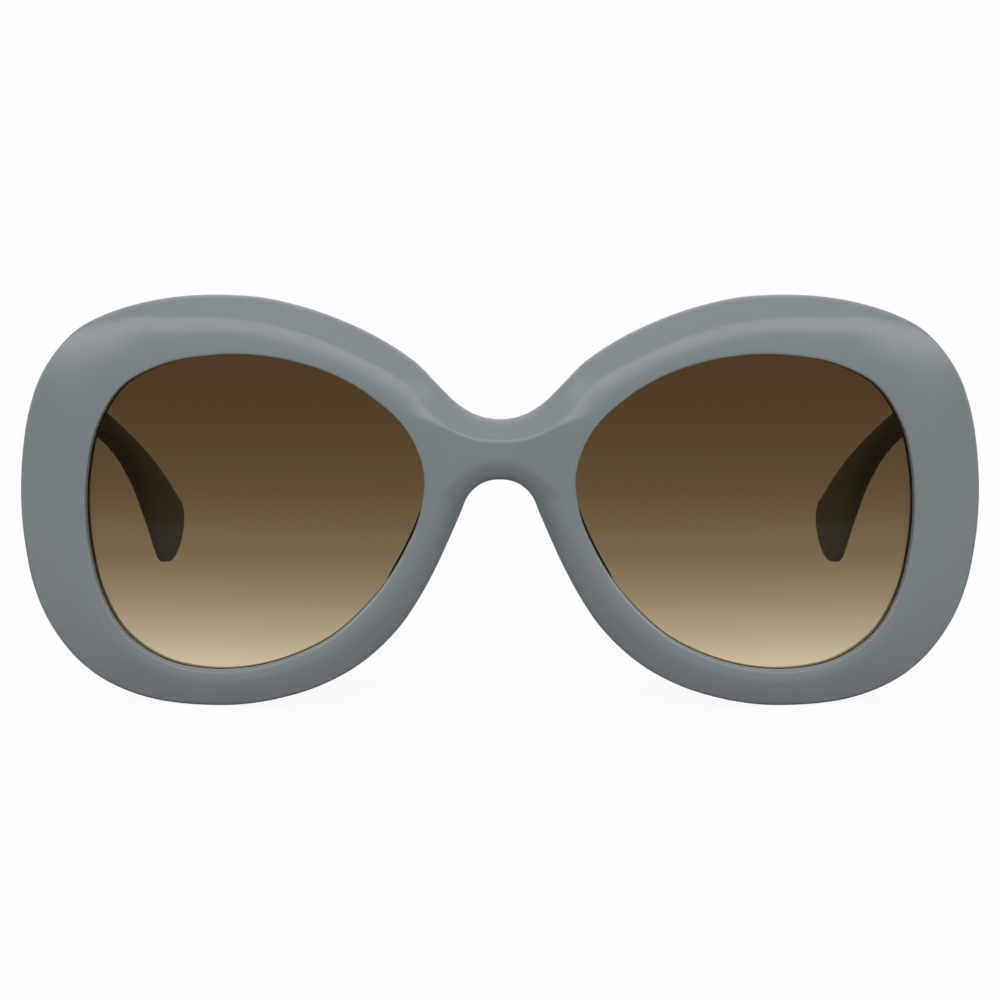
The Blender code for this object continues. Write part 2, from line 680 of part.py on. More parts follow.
def leaf_mesh(name, outline, side):
    """A flat outline raised to the hinge's full height."""
    rings = []
    for height in (HINGE_BOTTOM, -HINGE_BOTTOM):
        rings.append([Vector((side * x, y, height)) for x, y in outline])
    return finish_mesh(loft(rings, False), name)


def barrel_arc(start_deg, end_deg):
    """Points round a hinge barrel, from one angle to another."""
    steps = max(int(BARREL_SIDES * (end_deg - start_deg) / 360), 2)
    turns = [math.radians(start_deg + (end_deg - start_deg) * step / steps) for step in range(steps + 1)]
    return [(BARREL_RADIUS * math.cos(turn), BARREL_RADIUS * math.sin(turn)) for turn in turns]


def bore_mesh(name):
    """The hole for the screw through every barrel."""
    radius = SCREW_RADIUS + SCREW_GAP
    return rod_mesh(name, radius, HINGE_BOTTOM - OVERRUN, -HINGE_BOTTOM + OVERRUN, SCREW_SIDES)


def cut_levels(leaf, name, side, hinge, cutters, levels, low, high):
    """Clears the barrel levels that belong to the other leaf."""
    for level in levels:
        base = HINGE_BOTTOM + level * BARREL_PITCH - BARREL_GAP
        top = HINGE_BOTTOM + (level + 1) * BARREL_PITCH
        base -= OVERRUN if level == 0 else 0
        top += OVERRUN if level == BARREL_COUNT - 1 else 0
        box = side_box(name, side, (low[0], low[1], base), (high[0], high[1], top))
        cut(leaf, add_object(f"{name}_{level}", box, cutters, hinge))


def build_front_leaf(name, side, hinge, parts, cutters, slot, front):
    """The three-barrel leaf, whose anchor is set in a slot of the endpiece."""
    half = ANCHOR_THICKNESS / 2
    neck = math.degrees(math.asin(half / BARREL_RADIUS))
    deep = -BARREL_RADIUS - SWING_GAP - ANCHOR_DEPTH
    outline = [(half, deep)] + barrel_arc(-90 + neck, 270 - neck) + [(-half, deep)]
    data = leaf_mesh(name + "_front_hinge_leaf", outline, side)
    leaf = add_object(name + "_front_hinge_leaf", data, parts, hinge, slot)
    reach = BARREL_RADIUS + OVERRUN
    levels = range(1, BARREL_COUNT, 2)
    cut_levels(
        leaf, name + "_front_leaf_gap", side, hinge, cutters, levels,
        (-reach, -BARREL_RADIUS - SWING_GAP), (reach, reach),
    )
    cut(leaf, add_object(name + "_front_leaf_bore", bore_mesh(name), cutters, hinge))
    seat = -HINGE_BOTTOM - SCREW_HEAD_HEIGHT - SCREW_HEAD_GAP
    head = rod_mesh(name, SCREW_HEAD_RADIUS + SCREW_HEAD_GAP, seat, -HINGE_BOTTOM + OVERRUN, SCREW_SIDES)
    cut(leaf, add_object(name + "_screw_head_seat", head, cutters, hinge))
    slot_box = side_box(
        name + "_anchor_slot", side,
        (-half - POCKET_GAP, deep - POCKET_GAP, HINGE_BOTTOM - POCKET_GAP),
        (half + POCKET_GAP, -BARREL_RADIUS - SWING_GAP + OVERRUN, -HINGE_BOTTOM + POCKET_GAP),
    )
    cut(front, add_object(name + "_anchor_slot", slot_box, cutters, hinge))
    return leaf


def build_temple_leaf(name, side, hinge, parts, cutters, slot):
    """The two-barrel leaf, whose plate lies in the recess of the temple."""
    inner = PLATE_OUTER - PLATE_THICKNESS
    outline = barrel_arc(TEMPLE_BARREL_START_DEG, 360)
    outline += [(PLATE_OUTER, PLATE_OUTER - BARREL_RADIUS), (PLATE_OUTER, PLATE_END), (inner, PLATE_END)]
    outline += [(inner, PLATE_START + SWING_GAP)]
    data = leaf_mesh(name + "_temple_hinge_leaf", outline, side)
    leaf = add_object(name + "_temple_hinge_leaf", data, parts, hinge, slot)
    reach = PLATE_OUTER + OVERRUN
    levels = range(0, BARREL_COUNT, 2)
    cut_levels(
        leaf, name + "_temple_leaf_gap", side, hinge, cutters, levels, (-reach, -reach), (reach, PLATE_START),
    )
    cut(leaf, add_object(name + "_temple_leaf_bore", bore_mesh(name), cutters, hinge))
    return leaf


def build_screw(name, side, hinge, parts, cutters, slot):
    """The hinge screw: a turned shank and head, with a driving slot."""
    top = -HINGE_BOTTOM
    shoulder = top - SCREW_HEAD_HEIGHT
    profile = (
        (0, top), (SCREW_HEAD_RADIUS, top), (SCREW_HEAD_RADIUS, shoulder), (SCREW_RADIUS, shoulder),
        (SCREW_RADIUS, HINGE_BOTTOM), (0, HINGE_BOTTOM),
    )
    data = bpy.data.meshes.new(name + "_hinge_screw")
    edges = [(index, index + 1) for index in range(len(profile) - 1)]
    data.from_pydata([(x, 0, z) for x, z in profile], edges, [])
    screw = add_object(name + "_hinge_screw", data, parts, hinge, slot)
    turned = screw.modifiers.new("turned", "SCREW")
    turned.steps = turned.render_steps = SCREW_SIDES
    turned.use_merge_vertices = True
    turned.merge_threshold = MERGE_DISTANCE
    turned.use_normal_calculate = True
    slot_box = box_mesh(
        name, (-SCREW_HEAD_RADIUS - OVERRUN, -SCREW_SLOT_WIDTH / 2, top - SCREW_SLOT_DEPTH),
        (SCREW_HEAD_RADIUS + OVERRUN, SCREW_SLOT_WIDTH / 2, top + OVERRUN),
    )
    cut(screw, add_object(name + "_screw_slot", slot_box, cutters, hinge))
    return screw


def world_points(item, place):
    """An item's own vertices as rows of depth and height in the worn frame."""
    return np.array([(vert.co.y + place[1], vert.co.z + place[2]) for vert in item.data.vertices])


def lowest(points, tilt):
    """Height of the lowest point once the object leans back by a tilt."""
    return float((points[:, 1] * math.cos(tilt) - points[:, 0] * math.sin(tilt)).min())


def stand_up(stand, front, temple, hinge_place):
    """Leans the object back until rims and tips touch one plane, and centres it above the origin."""
    rim, arm = world_points(front, (0, 0, 0)), world_points(temple, hinge_place)
    low, high = 0.0, math.radians(TILT_LIMIT_DEG)
    for step in range(TILT_STEPS):
        tilt = (low + high) / 2
        if lowest(rim, tilt) < lowest(arm, tilt):
            low = tilt
        else:
            high = tilt
    depths = np.concatenate((rim, arm)) @ np.array((math.cos(tilt), math.sin(tilt)))
    stand.rotation_euler.x = -tilt
    stand.location = (0, -(depths.min() + depths.max()) / 2, -lowest(rim, tilt) - REST_FLAT)
    return float(depths.max() - depths.min())


def add_rest_cutter(cutters, depth, items):
    """A slab below the rest plane that leaves a small flat on each rim and tip."""
    slab = box_mesh(
        "rest_plane", (-HALF_WIDTH - OVERRUN, -depth, -HALF_HEIGHT), (HALF_WIDTH + OVERRUN, depth, 0),
    )
    cutter = add_object("rest_plane", slab, cutters, None)
    for item in items:
        cut(item, cutter)


def main():
    for item in list(bpy.data.objects):
        bpy.data.objects.remove(item)
    parts = bpy.data.collections.new("oval_sunglasses")
    cutters = bpy.data.collections.new("cutters")
    for collection in (parts, cutters):
        bpy.context.scene.collection.children.link(collection)
    finishes = {name: paint(name) for name in FINISHES}

    stand = add_empty("stand", None, (0, 0, 0))
    front = build_front(stand, parts, cutters, finishes["matte_frame"])
    temples = []
    for name, side in (("left", 1), ("right", -1)):
        hinge_place = (side * HINGE_PLACE_X, HINGE_PLACE_Y, HINGE_LIFT)
        hinge = add_empty(name + "_hinge_axis", stand, hinge_place)
        build_lens(name, side, stand, parts, finishes["tinted_lens"])
        build_pad(name, side, stand, parts, finishes["matte_pad"])
        build_front_leaf(name, side, hinge, parts, cutters, finishes["hinge_metal"], front)
        build_temple_leaf(name, side, hinge, parts, cutters, finishes["hinge_metal"])
        build_screw(name, side, hinge, parts, cutters, finishes["screw_metal"])
        temples.append(build_temple(name, side, hinge, parts, cutters, finishes["matte_temple"]))
        build_wire(name, side, hinge, parts, finishes["wire_metal"])
    depth = stand_up(stand, front, temples[0], (HINGE_PLACE_X, HINGE_PLACE_Y, HINGE_LIFT))
    add_rest_cutter(cutters, depth, [front] + temples)


main()
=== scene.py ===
"""Oval sunglasses: bowed front, tinted lenses, nose pads, temples and hinges, in full shape and finish."""

import json
import math

import bmesh
import bpy
import numpy as np
from mathutils import Matrix, Vector


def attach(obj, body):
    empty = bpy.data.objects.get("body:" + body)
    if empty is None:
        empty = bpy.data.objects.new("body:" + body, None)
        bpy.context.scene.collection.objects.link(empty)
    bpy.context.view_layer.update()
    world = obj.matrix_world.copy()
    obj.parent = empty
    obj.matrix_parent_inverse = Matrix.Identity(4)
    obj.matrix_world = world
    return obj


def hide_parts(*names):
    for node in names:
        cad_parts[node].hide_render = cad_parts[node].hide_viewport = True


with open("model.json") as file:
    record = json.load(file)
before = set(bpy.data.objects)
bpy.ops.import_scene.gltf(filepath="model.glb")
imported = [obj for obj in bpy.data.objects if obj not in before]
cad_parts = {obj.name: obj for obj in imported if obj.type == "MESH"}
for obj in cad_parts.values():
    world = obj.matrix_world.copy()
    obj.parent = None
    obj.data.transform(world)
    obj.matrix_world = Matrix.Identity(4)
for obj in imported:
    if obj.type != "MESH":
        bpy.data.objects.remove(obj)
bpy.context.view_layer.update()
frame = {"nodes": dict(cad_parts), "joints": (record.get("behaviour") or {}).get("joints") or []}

# Driving dimensions of the front, in metres, as an optician boxes a frame
LENS_WIDTH = 0.0522
LENS_HEIGHT = 0.0487
BRIDGE_WIDTH = 0.0227
TEMPORAL_RIM = 0.01045
BROW_RIM = 0.00875
BOTTOM_RIM = 0.0054
BOW_RADIUS = 0.200
RIM_THICKNESS = 0.0065
BRIDGE_LIFT = 0.0030
BRIDGE_LIFT_REACH = 0.0120

# Edges of the front: its lips round the opening, its rounded outer edges, each region's dome and crown as a
# width, depth and power, the brow facet, and the shoulder under its crease as a width and depth
LIP_WIDTH = 0.0004
LIP_DEPTH = 0.00035
REAR_LIP = 0.0008
REAR_ROLL = 0.0014
EDGE_ROUND = 0.0005
NOTCH_ROUND = 0.0011
SIDE_DOME = (0.0075, 0.0026, 1.5)
LOW_SIDE_DOME = (0.0078, 0.0036, 1.5)
CORNER_DOME = (0.0078, 0.0010, 2.0)
NO_DOME = (0.0060, 0.0, 2.0)
BRIDGE_DOME = (0.0037, 0.0029, 2.0)
NOSE_DOME = (0.0051, 0.0037, 2.0)
BOTTOM_DOME = (0.0041, 0.0016, 1.5)
NO_CROWN = (0.0018, 0.0, 1.5)
NOSE_CROWN = (0.0013, 0.00040, 1.5)
BOTTOM_CROWN = (0.0018, 0.00040, 1.5)
BROW_FACET_WIDTH = 0.0038
BROW_FACET_DEPTH = 0.0018
NO_SHOULDER = (0.0030, 0.0)
TEMPLE_SHOULDER = (0.0037, 0.00038)
BROW_SHOULDER = (0.0029, 0.00030)
INNER_SHOULDER = (0.0034, 0.00042)
NOSE_SHOULDER = (0.0006, 0.00006)
DOME_LIMIT_SHARE = 0.85
SHOULDER_POWER = 2.0
WALL_LEAN_SHARE = 0.30

# Lenses, held in a groove
LENS_SETBACK = 0.0021
LENS_THICKNESS = 0.0020
LENS_BITE = 0.0006
LENS_GAP = 0.00015
LENS_BEVEL = 0.0003

# Endpieces and hinges
TEMPLE_INSET = 0.0038
HINGE_LIFT = 0.0168
ENDPIECE_REACH = 0.0061
ENDPIECE_WIDTH = 0.0076
ENDPIECE_ROOT = 0.0015
BUTT_GAP = 0.0003
BUTT_ROUNDING = 0.0004
BARREL_RADIUS = 0.0017
BARREL_COUNT = 5
HINGE_HEIGHT = 0.0080
BARREL_GAP = 0.00012
HINGE_INSET = 0.0016
SWING_GAP = 0.0003
ANCHOR_DEPTH = 0.0060
ANCHOR_THICKNESS = 0.0011
PLATE_LENGTH = 0.0122
PLATE_THICKNESS = 0.0012
PLATE_PROUD = 0.0002
POCKET_GAP = 0.00015
METAL_ROUNDING = 0.00008
SCREW_RADIUS = 0.0007
SCREW_GAP = 0.00008
SCREW_HEAD_RADIUS = 0.00115
SCREW_HEAD_HEIGHT = 0.0007
SCREW_HEAD_GAP = 0.0001
SCREW_DOME = 0.00025
SCREW_SLOT_WIDTH = 0.0003
SCREW_SLOT_DEPTH = 0.0003

# Temples
TEMPLE_LENGTH = 0.1290
TEMPLE_HEIGHT = 0.0125
TEMPLE_THICKNESS = 0.0042
TEMPLE_DROP = 0.0356
TEMPLE_INWARD = 0.01305

# Nose pads
PAD_LENGTH = 0.0182
PAD_WIDTH = 0.0046
PAD_DEPTH = 0.0042
PAD_DROP = 0.0058
PAD_FROM_OPENING = 0.0021
PAD_GAP = 0.00025

# How far a cutter runs past what it cuts, and how near two points merge
OVERRUN = 0.0010
MERGE_DISTANCE = 0.000004

# Sampling
CURVE_STEPS = 28
OUTLINE_SECTIONS = 260
BRIDGE_SECTIONS = 26
LIP_STEPS = 7
FACE_STEPS = 32
EDGE_STEPS = 8
REAR_STEPS = 6
LENS_SIDES = 288
LENS_RINGS = 24
TEMPLE_SIDES = 72
TEMPLE_STEPS = 10
TIP_STEPS = 14
PAD_SEGMENTS = 56
PAD_RINGS = 40
BARREL_SIDES = 72
SCREW_SIDES = 64
ROUNDING_STEPS = 2
SMOOTH_DEG = 35.0

# Outline of the front from the bridge's top round to its underside, as shares of half its width and height
OUTLINE_SHARES = (
    (0.000, 0.402), (0.042, 0.418), (0.083, 0.469), (0.1245, 0.560), (0.167, 0.663), (0.208, 0.735),
    (0.249, 0.793), (0.3315, 0.884), (0.413, 0.948), (0.496, 0.989), (0.580, 1.000), (0.664, 0.991),
    (0.748, 0.956), (0.831, 0.891), (0.874, 0.837), (0.916, 0.743), (0.956, 0.602), (0.981, 0.435),
    (0.995, 0.240), (1.000, 0.046), (0.991, -0.249), (0.9765, -0.422), (0.952, -0.571), (0.923, -0.684),
    (0.880, -0.801), (0.8375, -0.877), (0.7515, -0.962), (0.667, -0.995), (0.624, -1.000), (0.541, -0.996),
    (0.457, -0.962), (0.373, -0.898), (0.2895, -0.791), (0.206, -0.605), (0.165, -0.461), (0.124, -0.278),
    (0.104, -0.174), (0.083, -0.061), (0.062, 0.045), (0.042, 0.087), (0.021, 0.1075), (0.000, 0.112),
)

# Opening's radius every 15 degrees from the temple side upward, as shares of half its width and height
OPENING_SHARES = (
    1.001, 1.025, 1.076, 1.110, 1.072, 1.018, 0.988, 0.977, 0.987, 1.007, 1.035, 1.026,
    0.967, 0.906, 0.876, 0.871, 0.893, 0.922, 0.970, 1.028, 1.083, 1.093, 1.052, 1.010,
)

# Temple from hinge to tip: shares of length, drop, height and thickness
TEMPLE_SHARES = (
    (0.00, 0.000, 1.00, 1.00), (0.06, 0.018, 0.97, 1.00), (0.19, 0.075, 0.85, 1.00),
    (0.31, 0.125, 0.64, 0.98), (0.44, 0.160, 0.45, 0.95), (0.56, 0.208, 0.34, 0.92),
    (0.66, 0.282, 0.315, 0.90), (0.73, 0.358, 0.365, 0.885), (0.79, 0.449, 0.486, 0.885),
    (0.87, 0.625, 0.778, 0.89), (0.93, 0.802, 1.03, 0.90),
)
INWARD_START_SHARE = 0.38
TIP_ROUND_SHARE = 0.32
TIP_END_DEG = 88.0

# Squareness of a temple's section at the hinge and along the arm, and the shares of length between which it
# eases, then how a temple's tip thins, and the squareness of a nose pad's seat
BUTT_POWER = 5.0
ARM_POWER = 2.6
SQUARE_UNTIL_SHARE = 0.10
ROUND_FROM_SHARE = 0.45
TIP_THIN_POWER = 0.7
PAD_POWER = 4.0

# Angles, seen from the front round the lens from the temple side upward, between which each form blends
DOME_STOPS = (
    (0, SIDE_DOME), (42, CORNER_DOME), (50, CORNER_DOME), (63, NO_DOME), (163, NO_DOME),
    (168, BRIDGE_DOME), (171, BRIDGE_DOME), (177, NOSE_DOME), (222, NOSE_DOME), (255, BOTTOM_DOME),
    (285, BOTTOM_DOME), (320, LOW_SIDE_DOME), (340, LOW_SIDE_DOME), (360, SIDE_DOME),
)
CROWN_STOPS = (
    (172, NO_CROWN), (188, NOSE_CROWN), (215, NOSE_CROWN), (255, BOTTOM_CROWN), (292, BOTTOM_CROWN),
    (325, NO_CROWN),
)
FACET_STOPS = (
    (46, 0.0), (60, 0.47), (68, 0.77), (92, 0.89), (108, 0.94), (124, 0.98), (138, 0.86), (149, 0.93),
    (156, 0.93), (159.5, 0.88), (163.5, 0.78), (168, 0.0),
)
EDGE_STOPS = (
    (126, EDGE_ROUND), (138, NOTCH_ROUND), (162, NOTCH_ROUND), (166, EDGE_ROUND),
)
SHOULDER_STOPS = (
    (40, NO_SHOULDER), (62, TEMPLE_SHOULDER), (80, BROW_SHOULDER),
    (122, BROW_SHOULDER), (136, INNER_SHOULDER), (146, INNER_SHOULDER),
    (158, NOSE_SHOULDER), (164, NOSE_SHOULDER), (168, NO_SHOULDER),
)

# How much the sections crowd toward the bridge, and where round its pin a temple leaf's barrel starts
BRIDGE_CROWDING_SHARE = 0.6
TEMPLE_BARREL_START_DEG = 80.0

# Worked out from the sizes above
HALF_WIDTH = BRIDGE_WIDTH / 2 + LENS_WIDTH + TEMPORAL_RIM
HALF_HEIGHT = (LENS_HEIGHT + BROW_RIM + BOTTOM_RIM) / 2
FRONT_MIDDLE = (BROW_RIM - BOTTOM_RIM) / 2
LENS_MIDDLE = (BRIDGE_WIDTH + LENS_WIDTH) / 2

# Camera: its distance from the lenses, its rise over the front's axis, the lift of its aim, how far back
# the front is widest, half the front and the whole picture in pixels, its sensor and its nearest depth
CAMERA_DISTANCE = 0.900
CAMERA_RISE_DEG = 3.5
CAMERA_AIM_LIFT = 0.0023
EDGE_DEPTH = 0.0172
HALF_FRONT_PIXELS = 479
PICTURE_PIXELS = 1000
SENSOR_MM = 36.0
CAMERA_NEAR = 0.01

# Light: how white the background shows, then the wall, top, key and back light as strengths and as heights,
# depths and sides of a unit sphere between which each fades. The key light bends into an arch
WHITE = 0.985
WALL_LIGHT = 0.24
WALL_HEIGHTS = (0.0, 0.35)
WALL_DEPTHS = (0.0, 0.40)
WALL_BEHIND_SHARE = 0.35
TOP_LIGHT = 0.75
TOP_HEIGHTS = (0.5, 1.0)
KEY_LIGHT = 5.30
KEY_RISE = (0.38, 0.48)
KEY_FALL = (0.56, 0.68)
KEY_BEND = 0.06
KEY_FOOT = (0.05, 0.25)
KEY_SIDES = (0.86, 1.0)
KEY_DEPTHS = (-0.10, 0.40)
BACK_LIGHT = 0.8
BACK_DEPTHS = (0.05, 0.40)
BACK_HEIGHTS = (0.25, 0.60)

# Depths between which the backdrop and the floor come to mirror white
BACKDROP_START = (0.0, 0.35)
MIRRORED_FLOOR = (-0.55, 0.05)

# Floor: its size, its tone, how much of its shadow shows and how it glows
FLOOR_SPAN = 6.0
FLOOR_THICKNESS = 0.0020
FLOOR_TONE = 0.30
FLOOR_SHADOW_SHARE = 0.20
FLOOR_GLOW = 1.150

# Colours, in scene-linear values, and roughness of each finish
FRAME_COLOUR = (0.188, 0.216, 0.223)
PAD_COLOUR = (0.180, 0.206, 0.214)
NICKEL_COLOUR = (0.62, 0.61, 0.58)
STEEL_COLOUR = (0.55, 0.55, 0.56)
WHITE_COLOUR = (1, 1, 1, 1)
FRAME_ROUGHNESS = 0.32
PAD_ROUGHNESS = 0.36
NICKEL_ROUGHNESS = 0.30
STEEL_ROUGHNESS = 0.26

# Satin plastic: how much it mottles and buffs, its grain, and the depth and strength of its bump
MOTTLE = 0.05
BUFFING = 0.10
GRAIN_SIZE = 0.00035
SATIN_BUMP = (0.00001, 0.35)

# Metal: how much its gloss spreads and tarnish dulls it, its bump, and its lines per metre along each axis
GLOSS_SPREAD = 0.18
TARNISH = 0.12
METAL_BUMP = (0.000004, 0.5)
TUMBLED_LINES = (2500, 900, 2500)
TURNED_LINES = (900, 900, 9000)
DRAWN_LINES = (4000, 300, 4000)

# Patterns: the marks of buffing per metre along each axis, and the scale and detail of each noise
BUFFING_LINES = (180, 900, 900)
MOTTLE_NOISE = (55, 3)
BUFFING_NOISE = (1, 4)
LINE_NOISE = (1, 3)
PATCH_NOISE = (420, 2)
GRAIN_DETAIL = 2
NOISE_MIDDLE = 0.5

# Lens: its refraction, how much its coating reflects, and its tint at shares of its height, bottom to top
REFRACTION = 1.5
COATING_SHARE = 0.15
TINT_STOPS = (
    (0.00, (0.65, 0.551, 0.394)), (0.09, (0.492, 0.400, 0.268)), (0.22, (0.298, 0.232, 0.142)),
    (0.37, (0.181, 0.131, 0.069)), (0.57, (0.118, 0.078, 0.0355)), (0.78, (0.088, 0.053, 0.0245)),
    (1.00, (0.075, 0.0435, 0.0205)),
)


def quarter(steps):
    """Angles that step through a quarter turn, both ends included."""
    return np.linspace(0, math.pi / 2, steps + 1)


def ease(low, high, value):
    """A smooth rise from 0 at low to 1 at high."""
    share = min(max((value - low) / (high - low), 0.0), 1.0)
    return share * share * (3 - 2 * share)


def blend_stops(stops, angle):
    """The value at an angle between stops, eased from each stop to the next."""
    for (start, first), (end, second) in zip(stops, stops[1:]):
        if start <= angle <= end:
            share = ease(start, end, angle)
            return np.add(np.multiply(first, 1 - share), np.multiply(second, share))
    return np.array(stops[0][1]) if angle < stops[0][0] else np.array(stops[-1][1])


def smooth_curve(points, steps):
    """A smooth curve through all points but the first and last, which only set the slope at the ends."""
    points = [np.array(point, dtype=float) for point in points]
    spans = [np.linalg.norm(b - a) for a, b in zip(points, points[1:])]
    slopes = []
    for index in range(1, len(points) - 1):
        before, after = spans[index - 1], spans[index]
        rise = (points[index] - points[index - 1]) / before * after
        rise += (points[index + 1] - points[index]) / after * before
        slopes.append(rise / (before + after))
    curve = [points[1]]
    for index, (first, second) in enumerate(zip(slopes, slopes[1:])):
        start, end, span = points[index + 1], points[index + 2], spans[index + 1]
        for step in range(1, steps + 1):
            t = step / steps
            curve.append(
                start * (2 * t**3 - 3 * t**2 + 1)
                + first * span * (t**3 - 2 * t**2 + t)
                + end * (3 * t**2 - 2 * t**3)
                + second * span * (t**3 - t**2)
            )
    return np.array(curve)


def front_outline():
    """The half outline, from the bridge's top round the rim to the bridge's underside."""
    points = [(x * HALF_WIDTH, FRONT_MIDDLE + z * HALF_HEIGHT) for x, z in OUTLINE_SHARES]
    first, last = points[1], points[-2]
    points = [(-first[0], first[1])] + points + [(-last[0], last[1])]
    return smooth_curve(points, CURVE_STEPS)


def lens_opening():
    """The opening's closed outline about the lens's own middle."""
    count = len(OPENING_SHARES)
    points = []
    for index in range(-1, count + 2):
        angle = 2 * math.pi * index / count
        reach = OPENING_SHARES[index % count]
        across, upward = reach * math.cos(angle), reach * math.sin(angle)
        points.append((across * LENS_WIDTH / 2, upward * LENS_HEIGHT / 2))
    return smooth_curve(points, CURVE_STEPS)[:-1]


OUTLINE = front_outline()
OPENING = lens_opening()
OPENING_ANGLES = np.unwrap(np.arctan2(OPENING[:, 1], OPENING[:, 0]))
OPENING_REACHES = np.linalg.norm(OPENING, axis=1)


def edge_distance(points):
    """How far each point of the front lies inside its outline."""
    start, run = OUTLINE[:-1], np.diff(OUTLINE, axis=0)
    offset = points[:, None, :] - start
    share = np.clip((offset * run).sum(axis=2) / (run * run).sum(axis=1), 0, 1)
    return np.linalg.norm(offset - run * share[:, :, None], axis=2).min(axis=1)


def bow(points):
    """Depth of the bowed surface that the front and the lenses follow."""
    return BOW_RADIUS - np.sqrt(BOW_RADIUS**2 - (points**2).sum(axis=-1))


def rounding(distance, width, depth):
    """Depth that a rounded edge loses at a distance inside it."""
    inside = np.clip(1 - distance / width, 0, 1)
    return depth * (1 - np.sqrt(1 - inside**2))


def doming(distance, width, depth, power):
    """Depth that a domed face loses at a distance inside its edge."""
    return depth * np.clip(1 - distance / width, 0, 1) ** power


def opening_point(angle, spread):
    """A point of the lens opening at an angle about its middle, moved outward by a spread."""
    reach = np.interp(angle, OPENING_ANGLES, OPENING_REACHES, period=2 * math.pi) + spread
    return np.array((LENS_MIDDLE + reach * math.cos(angle), reach * math.sin(angle)))


def leaning(point, depth):
    """Where a point of the opening's wall lies at a depth, as the wall leans partly with the bow."""
    return point * (1 - WALL_LEAN_SHARE * depth / BOW_RADIUS)


def section_ends():
    """Outer end of each section round the opening: along the outline, then up the plane of symmetry."""
    lengths = np.concatenate(([0], np.cumsum(np.linalg.norm(np.diff(OUTLINE, axis=0), axis=1))))
    share = np.linspace(0, 1, OUTLINE_SECTIONS + 1)
    share -= BRIDGE_CROWDING_SHARE * np.sin(2 * math.pi * share) / (2 * math.pi)
    ends = np.stack([np.interp(share * lengths[-1], lengths, OUTLINE[:, axis]) for axis in (0, 1)], axis=1)
    top, bottom = OUTLINE[0][1], OUTLINE[-1][1]
    rise = (1 - np.cos(math.pi * np.arange(1, BRIDGE_SECTIONS) / BRIDGE_SECTIONS)) / 2
    seam = np.stack((np.zeros_like(rise), bottom + (top - bottom) * rise), axis=1)
    return np.concatenate((ends, seam))


def start_angles(ends):
    """Angle on the opening where each section starts, raised near the bridge to meet it squarely."""
    lift = BRIDGE_LIFT * np.maximum(1 - ends[:, 0] / BRIDGE_LIFT_REACH, 0)
    return np.arctan2(ends[:, 1] + lift, ends[:, 0] - LENS_MIDDLE)


SECTION_ENDS = section_ends()
SECTION_ANGLES = np.arctan2(SECTION_ENDS[:, 1], SECTION_ENDS[:, 0] - LENS_MIDDLE)
START_ANGLES = start_angles(SECTION_ENDS)
LENS_ANGLES = np.linspace(0, 2 * math.pi, LENS_SIDES, endpoint=False)


def front_depth(points, inset, degrees):
    """Depth of the front face at the points of a section, each an inset from the opening."""
    dome_width, dome_depth, dome_power = blend_stops(DOME_STOPS, degrees)
    dome_width = min(dome_width, (inset[-1] - LIP_WIDTH) * DOME_LIMIT_SHARE)
    edge = edge_distance(points)
    edge_round = float(blend_stops(EDGE_STOPS, degrees))
    depth = bow(points) + rounding(inset, LIP_WIDTH, LIP_DEPTH) + rounding(edge, edge_round, edge_round)
    crown = doming(inset, *blend_stops(CROWN_STOPS, degrees))
    depth += doming(edge, dome_width, dome_depth, dome_power) + crown
    crease = edge - BROW_FACET_WIDTH * float(blend_stops(FACET_STOPS, degrees))
    shoulder_width, shoulder_depth = blend_stops(SHOULDER_STOPS, degrees)
    depth += doming(np.maximum(crease, 0), shoulder_width, shoulder_depth, SHOULDER_POWER)
    return depth + BROW_FACET_DEPTH / BROW_FACET_WIDTH * np.maximum(-crease, 0)


def rear_depth(points, inset):
    """Depth of the rear face at the points of a section, each an inset from the opening."""
    depth = bow(points) + RIM_THICKNESS - rounding(inset, REAR_LIP, REAR_LIP)
    return depth - rounding(edge_distance(points), REAR_ROLL, REAR_ROLL)


def across_face(inner, end, lip, lip_steps, edge, edge_steps, steps):
    """Points across a face that crowd into its rounded lip and edge, and the inset of each."""
    width = float(np.linalg.norm(end - inner))
    near = lip * (1 - np.cos(quarter(lip_steps)))
    far = width - edge * (1 - np.cos(quarter(edge_steps)))[::-1]
    inset = np.concatenate((near, np.linspace(near[-1], far[0], steps + 1)[1:-1], far))
    return inner + (end - inner) * (inset / width)[:, None], inset


def front_section(end, angle, start):
    """One closed section of the rim: front face, outer edge, rear face and grooved inner wall."""
    inner = opening_point(start, 0)
    points, inset = across_face(inner, end, LIP_WIDTH, LIP_STEPS, EDGE_ROUND, EDGE_STEPS, FACE_STEPS)
    depth = front_depth(points, inset, math.degrees(angle) % 360)
    section = [np.column_stack((points[:, 0], depth, points[:, 1]))]

    inner = leaning(inner, RIM_THICKNESS)
    points, inset = across_face(inner, end, REAR_LIP, REAR_STEPS, REAR_ROLL, REAR_STEPS, REAR_STEPS)
    section.append(np.column_stack((points[:, 0], rear_depth(points, inset), points[:, 1]))[::-1])

    near, far = LENS_SETBACK - LENS_GAP, LENS_SETBACK + LENS_THICKNESS + LENS_GAP
    groove = LENS_BITE + LENS_GAP
    for setback, spread in ((far, 0), (far, groove), (near, groove), (near, 0)):
        point = leaning(opening_point(start, spread), setback)
        section.append(np.array([(point[0], bow(point) + setback, point[1])]))
    return np.concatenate(section)


